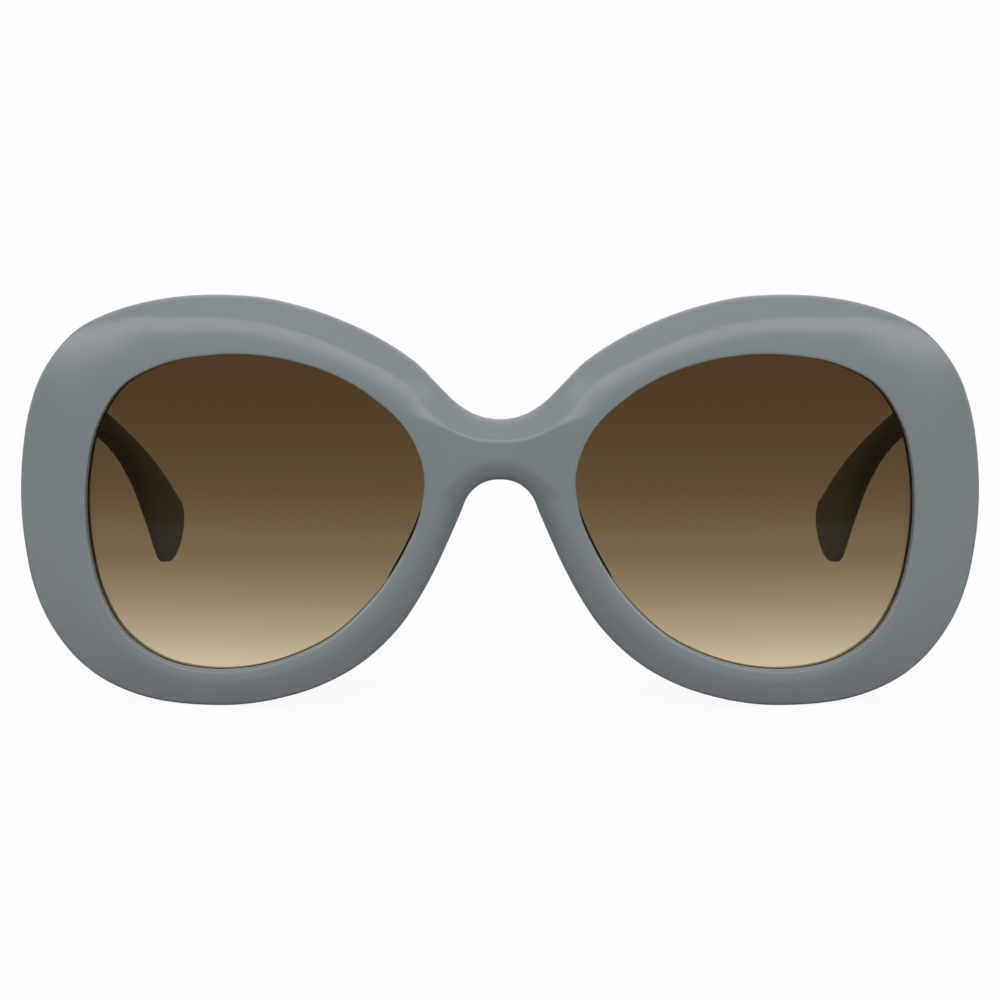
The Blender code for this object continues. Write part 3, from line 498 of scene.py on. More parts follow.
# Hinge: where its pin stands in the glasses as worn, and how its barrels and its plate are spaced along it
HINGE_PLACE_X = HALF_WIDTH - TEMPLE_INSET - TEMPLE_THICKNESS - HINGE_INSET
BUTT_DEPTH = float(bow(np.array((HINGE_PLACE_X, HINGE_LIFT)))) + RIM_THICKNESS + ENDPIECE_REACH
HINGE_PLACE = Vector((HINGE_PLACE_X, BUTT_DEPTH + BARREL_RADIUS + SWING_GAP, HINGE_LIFT))
HINGE_BOTTOM = -HINGE_HEIGHT / 2
BARREL_PITCH = (HINGE_HEIGHT + BARREL_GAP) / BARREL_COUNT
PLATE_START = BARREL_RADIUS + SWING_GAP
PLATE_END = PLATE_START + PLATE_LENGTH
PLATE_OUTER = HINGE_INSET - PLATE_PROUD + PLATE_THICKNESS
NECK_OVERLAP = METAL_ROUNDING * 4
SIDES = (("left", 1), ("right", -1))


def worn_to_standing():
    """The lean that stands the worn glasses on the floor, read from the frame's left hinge."""
    hinge = next(joint for joint in frame["joints"] if joint["name"] == "left_temple_fold")
    tilt = math.atan2(hinge["axis"][1], hinge["axis"][2])
    lean = Matrix.Rotation(-tilt, 4, "X")
    return Matrix.Translation(Vector(hinge["pos_m"]) - lean @ HINGE_PLACE) @ lean, tilt


STAND, TILT = worn_to_standing()


def loft(sections, closed_round, skip=None):
    """A mesh skinned over sections that each have the same number of points."""
    sections = np.array(sections, dtype=float)
    count, sides = sections.shape[:2]
    ring, beside = np.arange(sides), (np.arange(sides) + 1) % sides
    faces = []
    for index in range(count if closed_round else count - 1):
        here, after = index * sides, (index + 1) % count * sides
        quads = np.stack((here + ring, here + beside, after + beside, after + ring), axis=1)
        faces += quads[~skip(sections, index)].tolist() if skip else quads.tolist()
    if not closed_round:
        faces += [list(range(sides)), list(range((count - 1) * sides, count * sides))[::-1]]
    mesh = bmesh.new()
    verts = [mesh.verts.new(point) for point in sections.reshape(-1, 3)]
    for face in faces:
        mesh.faces.new([verts[corner] for corner in face])
    return mesh


def make_object(name, mesh, matrix=None):
    """An object from a bmesh, with outward faces, placed by moving its points."""
    if matrix is not None:
        bmesh.ops.transform(mesh, matrix=matrix, verts=mesh.verts)
    bmesh.ops.recalc_face_normals(mesh, faces=mesh.faces)
    if mesh.calc_volume(signed=True) < 0:
        bmesh.ops.reverse_faces(mesh, faces=mesh.faces)
    data = bpy.data.meshes.new(name)
    mesh.to_mesh(data)
    mesh.free()
    item = bpy.data.objects.new(name, data)
    bpy.context.scene.collection.objects.link(item)
    return item


def sort_by_points(mesh):
    """Puts a mesh's edges and faces in the order of their points, so that every run stores them alike."""
    count = len(mesh.verts)

    def place(part):
        first, second, *others = sorted(vert.index for vert in part.verts)
        return (first * count + second) * count + (others[0] if others else 0)

    mesh.verts.index_update()
    mesh.edges.sort(key=place)
    mesh.faces.sort(key=place)


def settle(item):
    """Applies an object's modifiers to its mesh, and shades it smooth but for its sharp edges."""
    shape = bpy.data.meshes.new_from_object(item.evaluated_get(bpy.context.evaluated_depsgraph_get()))
    item.modifiers.clear()
    item.data = shape
    shape.shade_smooth()
    shape.set_sharp_from_angle(angle=math.radians(SMOOTH_DEG))
    return item


def combine(item, other, operation):
    """Joins or cuts one object with another, which is then gone."""
    modifier = item.modifiers.new(other.name, "BOOLEAN")
    modifier.operation = operation
    modifier.object = other
    modifier.solver = "EXACT"
    settle(item)
    bpy.data.objects.remove(other)
    return item


def round_edges(item):
    """Rounds the sharp edges of a metal piece."""
    bevel = item.modifiers.new("rounding", "BEVEL")
    bevel.width = METAL_ROUNDING
    bevel.segments = ROUNDING_STEPS
    bevel.limit_method = "ANGLE"
    bevel.angle_limit = math.radians(SMOOTH_DEG)
    return settle(item)


def box(name, low, high):
    """A box between two corners, given in any order."""
    mesh = bmesh.new()
    low, high = Vector(low), Vector(high)
    size = Vector(abs(b - a) for a, b in zip(low, high))
    place = Matrix.Translation((low + high) / 2) @ Matrix.Diagonal(size.to_4d())
    bmesh.ops.create_cube(mesh, size=1, matrix=place)
    return make_object(name, mesh)


def rod(name, radius, low, high):
    """An upright cylinder on the local Z axis."""
    mesh = bmesh.new()
    bmesh.ops.create_cone(
        mesh, cap_ends=True, segments=SCREW_SIDES, radius1=radius, radius2=radius, depth=high - low,
        matrix=Matrix.Translation((0, 0, (low + high) / 2)),
    )
    return make_object(name, mesh)


def squared_ring(centre, across, upward, half_width, half_height, power):
    """A ring of points on a squared-off ellipse."""
    turns = 2 * math.pi * (np.arange(TEMPLE_SIDES) + 0.5) / TEMPLE_SIDES
    wide = np.sign(np.cos(turns)) * np.abs(np.cos(turns)) ** (2 / power)
    tall = np.sign(np.sin(turns)) * np.abs(np.sin(turns)) ** (2 / power)
    across, upward = np.array(across) * half_width, np.array(upward) * half_height
    return np.array(centre) + wide[:, None] * across + tall[:, None] * upward


def stand_on_floor(item):
    """Flattens what would lie below the floor, as the rims and tips are where they rest."""
    for vert in item.data.vertices:
        vert.co.z = max(vert.co.z, 0.0)


def hinge_shift(side):
    """Where a hinge's own frame stands in the glasses as worn."""
    return Matrix.Translation((side * HINGE_PLACE.x, HINGE_PLACE.y, HINGE_PLACE.z))


def hinge_place(side):
    """Where a hinge's own frame stands in the glasses on the floor."""
    return STAND @ hinge_shift(side)


def build_front():
    """The one-piece front with its endpieces, and the slots that hold the hinge anchors."""
    sections = [front_section(*section) for section in zip(SECTION_ENDS, SECTION_ANGLES, START_ANGLES)]

    def on_seam(rows, index):
        """Which sides lie on the plane of symmetry, where the other half joins."""
        flat = np.abs(rows[:, :, 0]) < MERGE_DISTANCE
        here, after = flat[index], flat[(index + 1) % len(rows)]
        return here & np.roll(here, -1) & after & np.roll(after, -1)

    front = make_object("front_rims", loft(sections, True, on_seam))
    mirror = front.modifiers.new("other_half", "MIRROR")
    mirror.merge_threshold = MERGE_DISTANCE
    settle(front)
    for name, side in SIDES:
        combine(front, build_endpiece(name, side), "UNION")
    for name, side in SIDES:
        half_slot = ANCHOR_THICKNESS / 2 + POCKET_GAP
        deep = -PLATE_START - ANCHOR_DEPTH - POCKET_GAP
        slot = box(
            name + "_anchor_slot", (-half_slot, deep, HINGE_BOTTOM - POCKET_GAP),
            (half_slot, -PLATE_START + OVERRUN, -HINGE_BOTTOM + POCKET_GAP),
        )
        slot.data.transform(hinge_shift(side))
        combine(front, slot, "DIFFERENCE")
    front.data.transform(STAND)
    stand_on_floor(front)
    return front


def build_endpiece(name, side):
    """The block behind the rim that a temple butts against, with its root bowed along inside the rim."""
    middle = HALF_WIDTH - TEMPLE_INSET - ENDPIECE_WIDTH / 2
    rings = [(0, 0)] + [
        (BUTT_DEPTH - BUTT_ROUNDING * (1 - math.sin(turn)), BUTT_ROUNDING * (1 - math.cos(turn)))
        for turn in quarter(REAR_STEPS)
    ]
    sections = [
        squared_ring(
            (side * middle, depth, HINGE_LIFT), (1, 0, 0), (0, 0, 1),
            ENDPIECE_WIDTH / 2 - trim, TEMPLE_HEIGHT / 2 - trim, BUTT_POWER,
        )
        for depth, trim in rings
    ]
    root = sections[0]
    root[:, 1] = bow(root[:, [0, 2]]) + RIM_THICKNESS - ENDPIECE_ROOT
    return make_object(name + "_endpiece", loft(sections, False))


def feed(tree, socket, value):
    """Links a node's input to another node's output, or else sets its value."""
    if isinstance(value, bpy.types.NodeSocket):
        tree.links.new(value, socket)
    else:
        socket.default_value = value


def feed_named(tree, node, **values):
    """Feeds a node's inputs by name, each from another node's output or with a value."""
    for name, value in values.items():
        feed(tree, node.inputs[name.replace("_", " ").title()], value)
    return node


def add_node(tree, kind, **values):
    """A new node with its named inputs fed."""
    return feed_named(tree, tree.nodes.new(kind), **values)


def work(tree, operation, *values):
    """What one step of arithmetic makes of node outputs and plain numbers."""
    node = tree.nodes.new("ShaderNodeMath")
    node.operation = operation
    for socket, value in zip(node.inputs, values):
        feed(tree, socket, value)
    return node.outputs[0]


def product(tree, *values):
    """The product of several node outputs and plain numbers."""
    total = values[0]
    for value in values[1:]:
        total = work(tree, "MULTIPLY", total, value)
    return total


def fade(tree, value, low, high, first, last):
    """A smooth change from a first to a last number as a node's output goes from low to high."""
    node = add_node(
        tree, "ShaderNodeMapRange", value=value, from_min=low, from_max=high, to_min=first, to_max=last,
    )
    node.interpolation_type = "SMOOTHSTEP"
    return node.outputs[0]


def new_group(name, kind, *sockets):
    """A node group with its named sockets, and what its inputs give."""
    group = bpy.data.node_groups.new(name, kind)
    for way, socket_kind, *socket_names in sockets:
        for socket_name in socket_names:
            group.interface.new_socket(socket_name, in_out=way, socket_type="NodeSocket" + socket_kind)
    return group, group.nodes.new("NodeGroupInput").outputs


def end_shape(tree, shape, finish):
    """Ends a geometry tree: makes its instances real and sets their finish."""
    real = add_node(tree, "GeometryNodeRealizeInstances", geometry=shape)
    finished = add_node(tree, "GeometryNodeSetMaterial", geometry=real.outputs[0], material=finish)
    tree.links.new(finished.outputs[0], tree.nodes.new("NodeGroupOutput").inputs[0])
    return tree


def bow_tree():
    """Geometry nodes that bend a flat lens blank onto the bow and lean its edge as the wall leans."""
    tree, given = new_group(
        "bend_to_bow", "GeometryNodeTree",
        ("INPUT", "Geometry", "Blank"),
        ("INPUT", "Float", "Bow Radius", "Setback", "Wall Lean"),
        ("INPUT", "Material", "Finish"),
        ("OUTPUT", "Geometry", "Lens"),
    )
    place = tree.nodes.new("GeometryNodeInputPosition").outputs[0]
    x, y, z = add_node(tree, "ShaderNodeSeparateXYZ", vector=place).outputs
    radius = given["Bow Radius"]
    depth = work(tree, "ADD", y, given["Setback"])
    lean = product(tree, given["Wall Lean"], work(tree, "DIVIDE", depth, radius))
    keep = work(tree, "SUBTRACT", 1, lean)
    x, z = product(tree, x, keep), product(tree, z, keep)
    reach = work(tree, "ADD", product(tree, x, x), product(tree, z, z))
    rise = work(tree, "SQRT", work(tree, "SUBTRACT", product(tree, radius, radius), reach))
    y = work(tree, "ADD", depth, work(tree, "SUBTRACT", radius, rise))
    bent = add_node(tree, "ShaderNodeCombineXYZ", x=x, y=y, z=z).outputs[0]
    bend = add_node(tree, "GeometryNodeSetPosition", geometry=given["Blank"], position=bent)
    return end_shape(tree, bend.outputs[0], given["Finish"])


def stack_tree():
    """Geometry nodes that stack one hinge knuckle along the pin at an even pitch."""
    tree, given = new_group(
        "stack_knuckles", "GeometryNodeTree",
        ("INPUT", "Geometry", "Knuckle"),
        ("INPUT", "Int", "Count"),
        ("INPUT", "Float", "First", "Pitch"),
        ("INPUT", "Material", "Finish"),
        ("OUTPUT", "Geometry", "Stack"),
    )
    first = add_node(tree, "ShaderNodeCombineXYZ", z=given["First"]).outputs[0]
    pitch = add_node(tree, "ShaderNodeCombineXYZ", z=given["Pitch"]).outputs[0]
    row = add_node(tree, "GeometryNodeMeshLine", count=given["Count"], start_location=first, offset=pitch)
    copies = add_node(tree, "GeometryNodeInstanceOnPoints", points=row.outputs[0], instance=given["Knuckle"])
    return end_shape(tree, copies.outputs[0], given["Finish"])


def run_tree(item, tree, **values):
    """Runs a geometry node tree on an object and keeps the result as its plain mesh."""
    modifier = item.modifiers.new(tree.name, "NODES")
    modifier.node_group = tree
    for socket in tree.interface.items_tree:
        name = socket.name.lower().replace(" ", "_")
        if name in values:
            modifier[socket.identifier] = values[name]
    return settle(item)


def build_lens(name, side, tree, finish):
    """A tinted lens: a flat blank with a bevelled edge, bent onto the bow."""
    edge = np.array([opening_point(angle, LENS_BITE) for angle in LENS_ANGLES])
    middle = np.array((LENS_MIDDLE, 0))

    def ring(share, depth, trim=0.0):
        """A ring of the blank at a share of its reach, drawn in by a trim."""
        offset = (edge - middle) * share
        offset *= 1 - trim / np.linalg.norm(offset, axis=1)[:, None]
        points = middle + offset
        return np.column_stack((side * points[:, 0], np.full(len(points), depth), points[:, 1]))

    shares = [index / LENS_RINGS for index in range(1, LENS_RINGS)]
    rings = [ring(share, 0) for share in shares]
    rings += [ring(1, 0, LENS_BEVEL), ring(1, LENS_BEVEL), ring(1, LENS_THICKNESS - LENS_BEVEL)]
    rings += [ring(1, LENS_THICKNESS, LENS_BEVEL)]
    rings += [ring(share, LENS_THICKNESS) for share in reversed(shares)]
    lens = make_object(name + "_tinted_lens", loft(rings, False))
    run_tree(
        lens, tree, bow_radius=BOW_RADIUS, setback=LENS_SETBACK, wall_lean=WALL_LEAN_SHARE, finish=finish,
    )
    lens.data.transform(STAND)
    return lens


def build_pad(name, side):
    """A bonded pad: an egg shape that follows the opening, flattened onto the back of the nasal rim."""
    mesh = bmesh.new()
    bmesh.ops.create_uvsphere(mesh, u_segments=PAD_SEGMENTS, v_segments=PAD_RINGS, radius=1)
    sort_by_points(mesh)
    bmesh.ops.rotate(mesh, verts=mesh.verts, cent=(0, 0, 0), matrix=Matrix.Rotation(math.pi / 2, 3, "X"))
    for vert in mesh.verts:
        across, proud, along = vert.co
        reach = math.hypot(across, along)
        if reach > MERGE_DISTANCE:
            squared = abs(across / reach) ** PAD_POWER + abs(along / reach) ** PAD_POWER
            stretch = squared ** (-1 / PAD_POWER)
            across, along = across * stretch, along * stretch
        angle = math.atan2(along * PAD_LENGTH / 2 - PAD_DROP, BRIDGE_WIDTH / 2 - LENS_MIDDLE)
        point = opening_point(angle, PAD_FROM_OPENING - across * PAD_WIDTH / 2)
        seat = float(bow(point)) + RIM_THICKNESS + PAD_GAP
        vert.co = (side * point[0], seat + max(proud, 0.0) * PAD_DEPTH, point[1])
    return settle(make_object(name + "_bonded_pad", mesh, STAND))


def temple_stations():
    """Centre, height, thickness and share of length along a temple, about its hinge axis."""
    start = BUTT_GAP - BARREL_RADIUS - SWING_GAP
    before = np.multiply(TEMPLE_SHARES[0], 2) - TEMPLE_SHARES[1]
    beyond = np.multiply(TEMPLE_SHARES[-1], 2) - TEMPLE_SHARES[-2]
    stations = []
    for reach, drop, height, thickness in smooth_curve((before, *TEMPLE_SHARES, beyond), TEMPLE_STEPS):
        bend = max(reach - INWARD_START_SHARE, 0.0) / (1 - INWARD_START_SHARE)
        thick = thickness * TEMPLE_THICKNESS
        x = HINGE_INSET + TEMPLE_THICKNESS - thick / 2 - TEMPLE_INWARD * bend**2
        centre = Vector((x, start + reach * (TEMPLE_LENGTH - start), -drop * TEMPLE_DROP))
        stations.append((centre, height * TEMPLE_HEIGHT, thick, reach))
    return stations


def temple_rings():
    """Sections of a temple, from its rounded butt to its rounded tip."""
    stations = temple_stations()
    rings = []
    for index, (centre, height, thick, reach) in enumerate(stations):
        before, after = stations[max(index - 1, 0)][0], stations[min(index + 1, len(stations) - 1)][0]
        along = (after - before).normalized() if index else Vector((0, 1, 0))
        across = along.cross(Vector((0, 0, 1))).normalized()
        upward = across.cross(along)
        wide, tall = thick / 2, height / 2
        power = BUTT_POWER + (ARM_POWER - BUTT_POWER) * ease(SQUARE_UNTIL_SHARE, ROUND_FROM_SHARE, reach)
        if index == 0:
            for turn in quarter(REAR_STEPS)[:-1]:
                trim = BUTT_ROUNDING * (1 - math.sin(turn))
                ahead = centre + along * BUTT_ROUNDING * (1 - math.cos(turn))
                rings.append(squared_ring(ahead, across, upward, wide - trim, tall - trim, power))
            centre = centre + along * BUTT_ROUNDING
        rings.append(squared_ring(centre, across, upward, wide, tall, power))
    for turn in np.linspace(0, math.radians(TIP_END_DEG), TIP_STEPS + 1)[1:]:
        ahead = centre + along * tall * 2 * TIP_ROUND_SHARE * math.sin(turn)
        thin = math.cos(turn) ** TIP_THIN_POWER
        rings.append(squared_ring(ahead, across, upward, wide * thin, tall * math.cos(turn), power))
    return rings


def build_temple(name, side):
    """A temple: squared at the hinge, narrow over the ear, round at the tip and recessed for its leaf."""
    rings = [ring * (side, 1, 1) for ring in temple_rings()]
    temple = make_object(name + "_arm", loft(rings, False))
    recess = box(
        name + "_hinge_recess", (-side * OVERRUN, -PLATE_START - OVERRUN, HINGE_BOTTOM - SWING_GAP),
        (side * (PLATE_OUTER + POCKET_GAP), PLATE_END + POCKET_GAP, -HINGE_BOTTOM + SWING_GAP),
    )
    combine(temple, recess, "DIFFERENCE")
    temple.data.transform(hinge_place(side))
    stand_on_floor(temple)
    return temple


def barrel_arc(start_deg, end_deg):
    """Points round a hinge barrel, from one angle to another."""
    steps = int(BARREL_SIDES * (end_deg - start_deg) / 360)
    turns = np.radians(np.linspace(start_deg, end_deg, steps + 1))
    return [(BARREL_RADIUS * math.cos(turn), BARREL_RADIUS * math.sin(turn)) for turn in turns]


def knuckle(name, outline, side):
    """One barrel with its neck, bored for the screw and with rounded edges."""
    height = BARREL_PITCH - BARREL_GAP
    rings = [[(side * x, y, z) for x, y in outline] for z in (0, height)]
    solid = make_object(name, loft(rings, False))
    combine(solid, rod(name + "_bore", SCREW_RADIUS + SCREW_GAP, -OVERRUN, height + OVERRUN), "DIFFERENCE")
    return round_edges(solid)


def build_front_leaf(name, side, tree, finish):
    """The three-barrel leaf, whose anchor is set in a slot of the endpiece."""
    half = ANCHOR_THICKNESS / 2
    neck = math.degrees(math.asin(half / BARREL_RADIUS))
    into = -PLATE_START - NECK_OVERLAP
    outline = [(half, into)] + barrel_arc(-90 + neck, 270 - neck) + [(-half, into)]
    leaf = knuckle(name + "_three_barrel_leaf", outline, side)
    count = (BARREL_COUNT + 1) // 2
    run_tree(leaf, tree, count=count, first=HINGE_BOTTOM, pitch=2 * BARREL_PITCH, finish=finish)
    anchor = box(
        name + "_anchor", (-half, -PLATE_START - ANCHOR_DEPTH, HINGE_BOTTOM),
        (half, -PLATE_START, -HINGE_BOTTOM),
    )
    round_edges(anchor)
    combine(leaf, anchor, "UNION")
    low = -HINGE_BOTTOM - SCREW_HEAD_HEIGHT - SCREW_HEAD_GAP
    seat = rod(name + "_head_seat", SCREW_HEAD_RADIUS + SCREW_HEAD_GAP, low, -HINGE_BOTTOM + OVERRUN)
    combine(leaf, seat, "DIFFERENCE")
    leaf.data.transform(hinge_place(side))
    return leaf


def build_temple_leaf(name, side, tree, finish):
    """The two-barrel leaf, whose plate lies in the recess of the temple."""
    inner = PLATE_OUTER - PLATE_THICKNESS
    into = PLATE_START + SWING_GAP + NECK_OVERLAP
    outline = barrel_arc(TEMPLE_BARREL_START_DEG, 360)
    outline += [(PLATE_OUTER, PLATE_OUTER - BARREL_RADIUS), (PLATE_OUTER, into), (inner, into)]
    outline += [(inner, PLATE_START + SWING_GAP)]
    leaf = knuckle(name + "_two_barrel_leaf", outline, side)
    count, first = BARREL_COUNT // 2, HINGE_BOTTOM + BARREL_PITCH
    run_tree(leaf, tree, count=count, first=first, pitch=2 * BARREL_PITCH, finish=finish)
    plate = box(
        name + "_plate", (side * inner, PLATE_START, HINGE_BOTTOM),
        (side * PLATE_OUTER, PLATE_END, -HINGE_BOTTOM),
    )
    round_edges(plate)
    combine(leaf, plate, "UNION")
    leaf.data.transform(hinge_place(side))
    return leaf


def build_screw(name, side):
    """The hinge screw: a turned shank under a slotted, slightly domed head."""
    top, bottom = -HINGE_BOTTOM, HINGE_BOTTOM
    shoulder, rim = top - SCREW_HEAD_HEIGHT, top - SCREW_DOME
    profile = [
        (SCREW_HEAD_RADIUS * math.sin(turn), rim + SCREW_DOME * math.cos(turn))
        for turn in quarter(REAR_STEPS)[1:]
    ]
    profile += [(SCREW_HEAD_RADIUS, shoulder), (SCREW_RADIUS, shoulder)]
    profile += [(SCREW_RADIUS, bottom + METAL_ROUNDING), (SCREW_RADIUS - METAL_ROUNDING, bottom)]
    turns = 2 * math.pi * np.arange(SCREW_SIDES) / SCREW_SIDES
    circle = np.column_stack((np.cos(turns), np.sin(turns), np.ones(SCREW_SIDES)))
    rings = [circle * (radius, radius, height) for radius, height in profile]
    screw = make_object(name + "_slotted_screw", loft(rings, False))
    slot = box(
        name + "_driver_slot",
        (-SCREW_HEAD_RADIUS - OVERRUN, -SCREW_SLOT_WIDTH / 2, top - SCREW_SLOT_DEPTH),
        (SCREW_HEAD_RADIUS + OVERRUN, SCREW_SLOT_WIDTH / 2, top + OVERRUN),
    )
    combine(screw, slot, "DIFFERENCE")
    screw.data.transform(hinge_place(side))
    return screw


def noise(tree, place, scale, detail):
    """A noise pattern at a place."""
    return add_node(tree, "ShaderNodeTexNoise", vector=place, scale=scale, detail=detail).outputs["Fac"]


def swayed(tree, pattern, amount, middle):
    """A value that a pattern moves up and down about its middle."""
    return work(tree, "MULTIPLY_ADD", work(tree, "SUBTRACT", pattern, NOISE_MIDDLE), amount, middle)


def end_finish(group, colour, tone, roughness, height):
    """Ends a finish group: its colour at a tone, its roughness and its height."""
    shade = add_node(group, "ShaderNodeHueSaturation", color=colour, value=tone).outputs["Color"]
    add_node(group, "NodeGroupOutput", colour=shade, roughness=roughness, height=height)
    return group


def satin_group():
    """Shader group for polished plastic: mottle in its tone, buffing marks in its gloss, and fine grain."""
    group, given = new_group(
        "satin_plastic", "ShaderNodeTree",
        ("INPUT", "Color", "Colour"),
        ("INPUT", "Float", "Mottle", "Roughness", "Buffing", "Grain Size"),
        ("OUTPUT", "Color", "Colour"),
        ("OUTPUT", "Float", "Roughness", "Height"),
    )
    place = group.nodes.new("ShaderNodeTexCoord").outputs["Object"]
    tone = swayed(group, noise(group, place, *MOTTLE_NOISE), given["Mottle"], 1)
    stretched = add_node(group, "ShaderNodeMapping", vector=place, scale=BUFFING_LINES).outputs[0]
    marks = noise(group, stretched, *BUFFING_NOISE)
    roughness = swayed(group, marks, given["Buffing"], given["Roughness"])
    grain = noise(group, place, work(group, "DIVIDE", 1, given["Grain Size"]), GRAIN_DETAIL)
    return end_finish(group, given["Colour"], tone, roughness, grain)


def metal_group():
    """Shader group for tumbled metal: lines in its gloss and height, and dull patches in its tone."""
    group, given = new_group(
        "tumbled_metal", "ShaderNodeTree",
        ("INPUT", "Color", "Colour"),
        ("INPUT", "Float", "Roughness", "Spread", "Tarnish"),
        ("INPUT", "Vector", "Line Scale"),
        ("OUTPUT", "Color", "Colour"),
        ("OUTPUT", "Float", "Roughness", "Height"),
    )
    place = group.nodes.new("ShaderNodeTexCoord").outputs["Object"]
    dull = product(group, noise(group, place, *PATCH_NOISE), given["Tarnish"])
    tone = work(group, "SUBTRACT", 1, dull)
    stretched = add_node(group, "ShaderNodeMapping", vector=place, scale=given["Line Scale"]).outputs[0]
    lines = noise(group, stretched, *LINE_NOISE)
    roughness = swayed(group, lines, given["Spread"], given["Roughness"])
    return end_finish(group, given["Colour"], tone, roughness, lines)


def new_material(name):
    """A new material, its node tree and its Principled BSDF."""
    material = bpy.data.materials.new(name)
    material.use_nodes = True
    return material, material.node_tree, material.node_tree.nodes["Principled BSDF"]


def finish_material(name, group, bump, colour, metallic, **values):
    """A material whose colour, roughness and bump come from a finish group with its own values."""
    material, tree, shader = new_material(name)
    finish = tree.nodes.new("ShaderNodeGroup")
    finish.node_tree = group
    surface = feed_named(tree, finish, colour=(*colour, 1), **values).outputs
    distance, strength = bump
    relief = add_node(
        tree, "ShaderNodeBump", distance=distance, strength=strength, height=surface["Height"],
    )
    feed_named(
        tree, shader, base_color=surface["Colour"], metallic=metallic, roughness=surface["Roughness"],
        normal=relief.outputs["Normal"],
    )
    return material


def satin_material(name, colour, roughness, group):
    """Satin blue-grey acetate."""
    return finish_material(
        name, group, SATIN_BUMP, colour, metallic=0.0,
        mottle=MOTTLE, roughness=roughness, buffing=BUFFING, grain_size=GRAIN_SIZE,
    )


def metal_material(name, colour, roughness, line_scale, group):
    """Tumbled, turned or drawn metal."""
    return finish_material(
        name, group, METAL_BUMP, colour, metallic=1.0,
        roughness=roughness, spread=GLOSS_SPREAD, tarnish=TARNISH, line_scale=line_scale,
    )


def lens_material():
    """Clear gloss with a brown tint that fades downward across the lens."""
    material, tree, shader = new_material("tinted_lens_gradient")
    place = tree.nodes.new("ShaderNodeTexCoord").outputs["Object"]
    turn = add_node(
        tree, "ShaderNodeMapping", vector=place, location=STAND.translation, rotation=(-TILT, 0, 0),
    )
    turn.vector_type = "TEXTURE"
    upward = add_node(tree, "ShaderNodeSeparateXYZ", vector=turn.outputs[0]).outputs["Z"]
    height = add_node(
        tree, "ShaderNodeMapRange", value=upward, from_min=-LENS_HEIGHT / 2, from_max=LENS_HEIGHT / 2,
    )
    tint = add_node(tree, "ShaderNodeValToRGB", fac=height.outputs[0])
    ramp = tint.color_ramp
    ramp.interpolation = "LINEAR"
    for share, colour in TINT_STOPS[1:-1]:
        ramp.elements.new(share)
    for element, (share, colour) in zip(ramp.elements, TINT_STOPS):
        element.position = share
        element.color = (*colour, 1)
    feed_named(
        tree, shader, base_color=tint.outputs["Color"], roughness=0.0, transmission_weight=1.0,
        specular_tint=(COATING_SHARE, COATING_SHARE, COATING_SHARE, 1),
    )
    shader.inputs["IOR"].default_value = REFRACTION
    return material


def seen_white(tree, *mirrored):
    """A value of 1 for the camera's own rays, and for mirrored ones where every given value is 1."""
    path = tree.nodes.new("ShaderNodeLightPath").outputs
    direct = work(tree, "MAXIMUM", path["Is Camera Ray"], path["Is Transmission Ray"])
    return work(tree, "MAXIMUM", direct, product(tree, path["Is Glossy Ray"], *mirrored))


def mix_surface(tree, share, first, second, output):
    """Feeds an output with a share of a second shader in a first."""
    mix = tree.nodes.new("ShaderNodeMixShader")
    for socket, value in zip(mix.inputs, (share, first.outputs[0], second.outputs[0])):
        tree.links.new(value, socket)
    tree.links.new(mix.outputs[0], output.inputs["Surface"])


def build_room():
    """A room that shows white, lit by its walls, top and back and by a soft key light over the camera."""
    world = bpy.data.worlds.new("white_room")
    bpy.context.scene.world = world
    world.use_nodes = True
    tree = world.node_tree
    place = tree.nodes.new("ShaderNodeTexCoord").outputs["Generated"]
    side, depth, height = add_node(tree, "ShaderNodeSeparateXYZ", vector=place).outputs
    arch = work(tree, "ADD", product(tree, height, height), product(tree, side, side, KEY_BEND))
    arch = work(tree, "SQRT", arch)
    light = product(
        tree, fade(tree, arch, *KEY_RISE, 0, KEY_LIGHT), fade(tree, arch, *KEY_FALL, 1, 0),
        fade(tree, height, *KEY_FOOT, 0, 1), fade(tree, depth, *KEY_DEPTHS, 1, 0),
        fade(tree, work(tree, "ABSOLUTE", side), *KEY_SIDES, 1, 0),
    )
    wall = product(
        tree, fade(tree, height, *WALL_HEIGHTS, WALL_LIGHT, 0),
        fade(tree, depth, *WALL_DEPTHS, 1, WALL_BEHIND_SHARE),
    )
    top = fade(tree, height, *TOP_HEIGHTS, 0, TOP_LIGHT)
    back = product(
        tree, fade(tree, height, *BACK_HEIGHTS, 0, BACK_LIGHT), fade(tree, depth, *BACK_DEPTHS, 0, 1),
    )
    for part in (wall, top, back):
        light = work(tree, "ADD", light, part)
    lit = feed_named(tree, tree.nodes["Background"], color=WHITE_COLOUR, strength=light)
    white = add_node(tree, "ShaderNodeBackground", color=WHITE_COLOUR, strength=WHITE)
    seen = seen_white(
        tree, fade(tree, depth, *BACKDROP_START, 0, 1), fade(tree, height, *BACK_HEIGHTS, 1, 0),
    )
    mix_surface(tree, seen, lit, white, tree.nodes["World Output"])


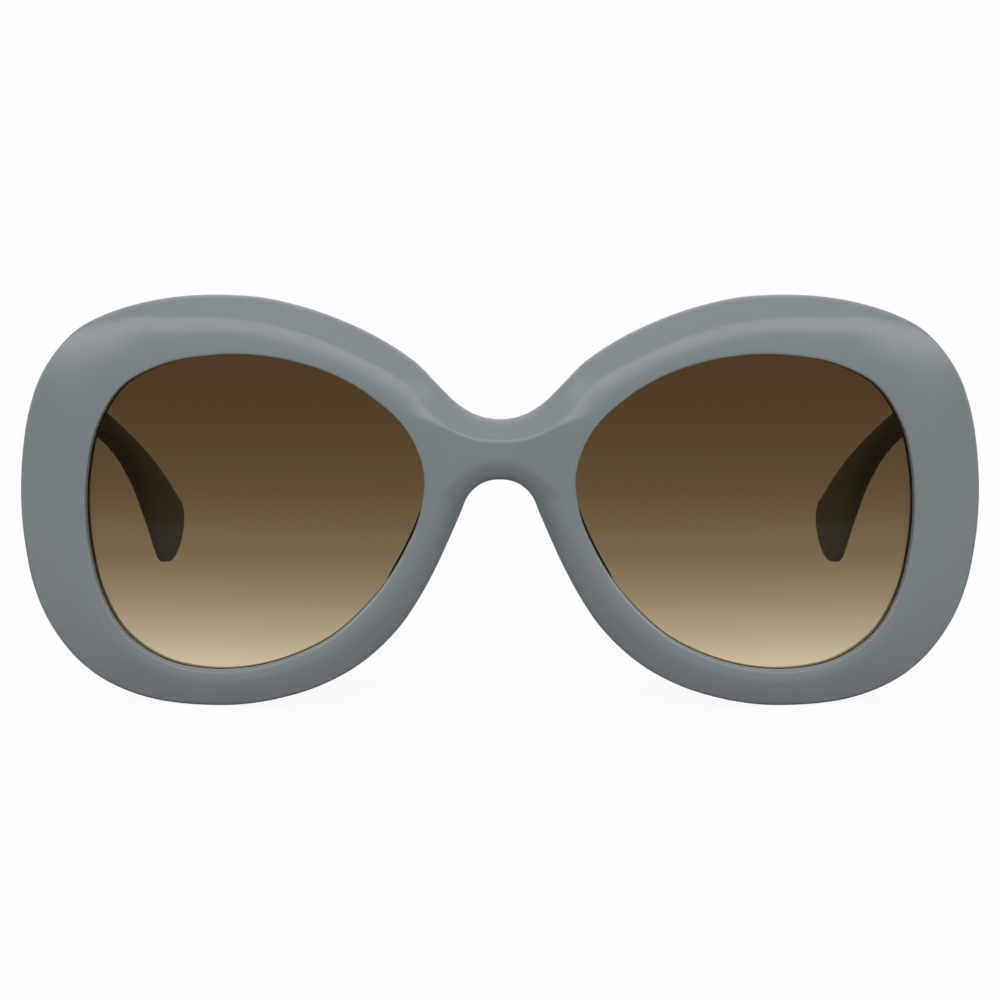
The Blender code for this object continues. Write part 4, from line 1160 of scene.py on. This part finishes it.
def build_floor():
    """A plain pale floor that shows white, with the object's soft shadow on it."""
    floor = box("floor", (-FLOOR_SPAN, -FLOOR_SPAN, -FLOOR_THICKNESS), (FLOOR_SPAN, FLOOR_SPAN, 0))
    material, tree, shader = new_material("pale_floor")
    tree.nodes.remove(shader)
    paint = add_node(tree, "ShaderNodeBsdfDiffuse", color=(FLOOR_TONE, FLOOR_TONE, FLOOR_TONE, 1))
    glow = add_node(tree, "ShaderNodeEmission", strength=FLOOR_GLOW)
    incoming = tree.nodes.new("ShaderNodeNewGeometry").outputs["Incoming"]
    depth = add_node(tree, "ShaderNodeSeparateXYZ", vector=incoming).outputs["Y"]
    seen = seen_white(tree, fade(tree, depth, *MIRRORED_FLOOR, 0, 1))
    white = product(tree, seen, 1 - FLOOR_SHADOW_SHARE)
    mix_surface(tree, white, paint, glow, tree.nodes["Material Output"])
    floor.data.materials.append(material)


def add_camera():
    """The camera at the photograph's viewing angle."""
    aim = STAND @ Vector((0, 0, CAMERA_AIM_LIFT))
    dip = TILT + math.radians(CAMERA_RISE_DEG)
    view = Vector((0, math.cos(dip), -math.sin(dip)))
    data = bpy.data.cameras.new("front_view")
    pixels = HALF_FRONT_PIXELS * (CAMERA_DISTANCE + EDGE_DEPTH) / HALF_WIDTH
    data.sensor_width = SENSOR_MM
    data.lens = SENSOR_MM * pixels / PICTURE_PIXELS
    data.clip_start = CAMERA_NEAR
    camera = bpy.data.objects.new("front_view", data)
    bpy.context.scene.collection.objects.link(camera)
    camera.location = aim - view * CAMERA_DISTANCE
    camera.rotation_euler = view.to_track_quat("-Z", "Y").to_euler()
    bpy.context.scene.camera = camera


def coat(item, material):
    """Gives a piece one material."""
    item.data.materials.clear()
    item.data.materials.append(material)


def dress(item, body, node, material):
    """Makes a piece ride a body, stand for its node and take its finish."""
    coat(item, material)
    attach(item, body)
    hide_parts(node)


def main():
    """Makes each finish and each piece, then the room, the floor and the camera."""
    satin, tumbled = satin_group(), metal_group()
    frame_satin = satin_material("satin_front", FRAME_COLOUR, FRAME_ROUGHNESS, satin)
    temple_satin = satin_material("satin_temple", FRAME_COLOUR, FRAME_ROUGHNESS, satin)
    pad_satin = satin_material("satin_pad", PAD_COLOUR, PAD_ROUGHNESS, satin)
    nickel = metal_material(
        "tumbled_nickel_silver", NICKEL_COLOUR, NICKEL_ROUGHNESS, TUMBLED_LINES, tumbled,
    )
    steel = metal_material("turned_steel", STEEL_COLOUR, STEEL_ROUGHNESS, TURNED_LINES, tumbled)
    wire = metal_material("drawn_wire", NICKEL_COLOUR, NICKEL_ROUGHNESS, DRAWN_LINES, tumbled)
    tint = lens_material()
    bend, stack = bow_tree(), stack_tree()

    dress(build_front(), "front", "front_frame", frame_satin)
    for name, side in SIDES:
        dress(build_lens(name, side, bend, tint), "front", name + "_lens", tint)
        dress(build_pad(name, side), "front", name + "_nose_pad", pad_satin)
        leaf = build_front_leaf(name, side, stack, nickel)
        dress(leaf, "front", name + "_front_hinge_leaf", nickel)
        dress(build_screw(name, side), "front", name + "_hinge_screw", steel)
        arm = name + "_temple"
        dress(build_temple(name, side), arm, arm, temple_satin)
        leaf = build_temple_leaf(name, side, stack, nickel)
        dress(leaf, arm, name + "_temple_hinge_leaf", nickel)
        coat(frame["nodes"][name + "_core_wire"], wire)

    bpy.context.scene.view_settings.view_transform = "Standard"
    build_room()
    build_floor()
    add_camera()


main()
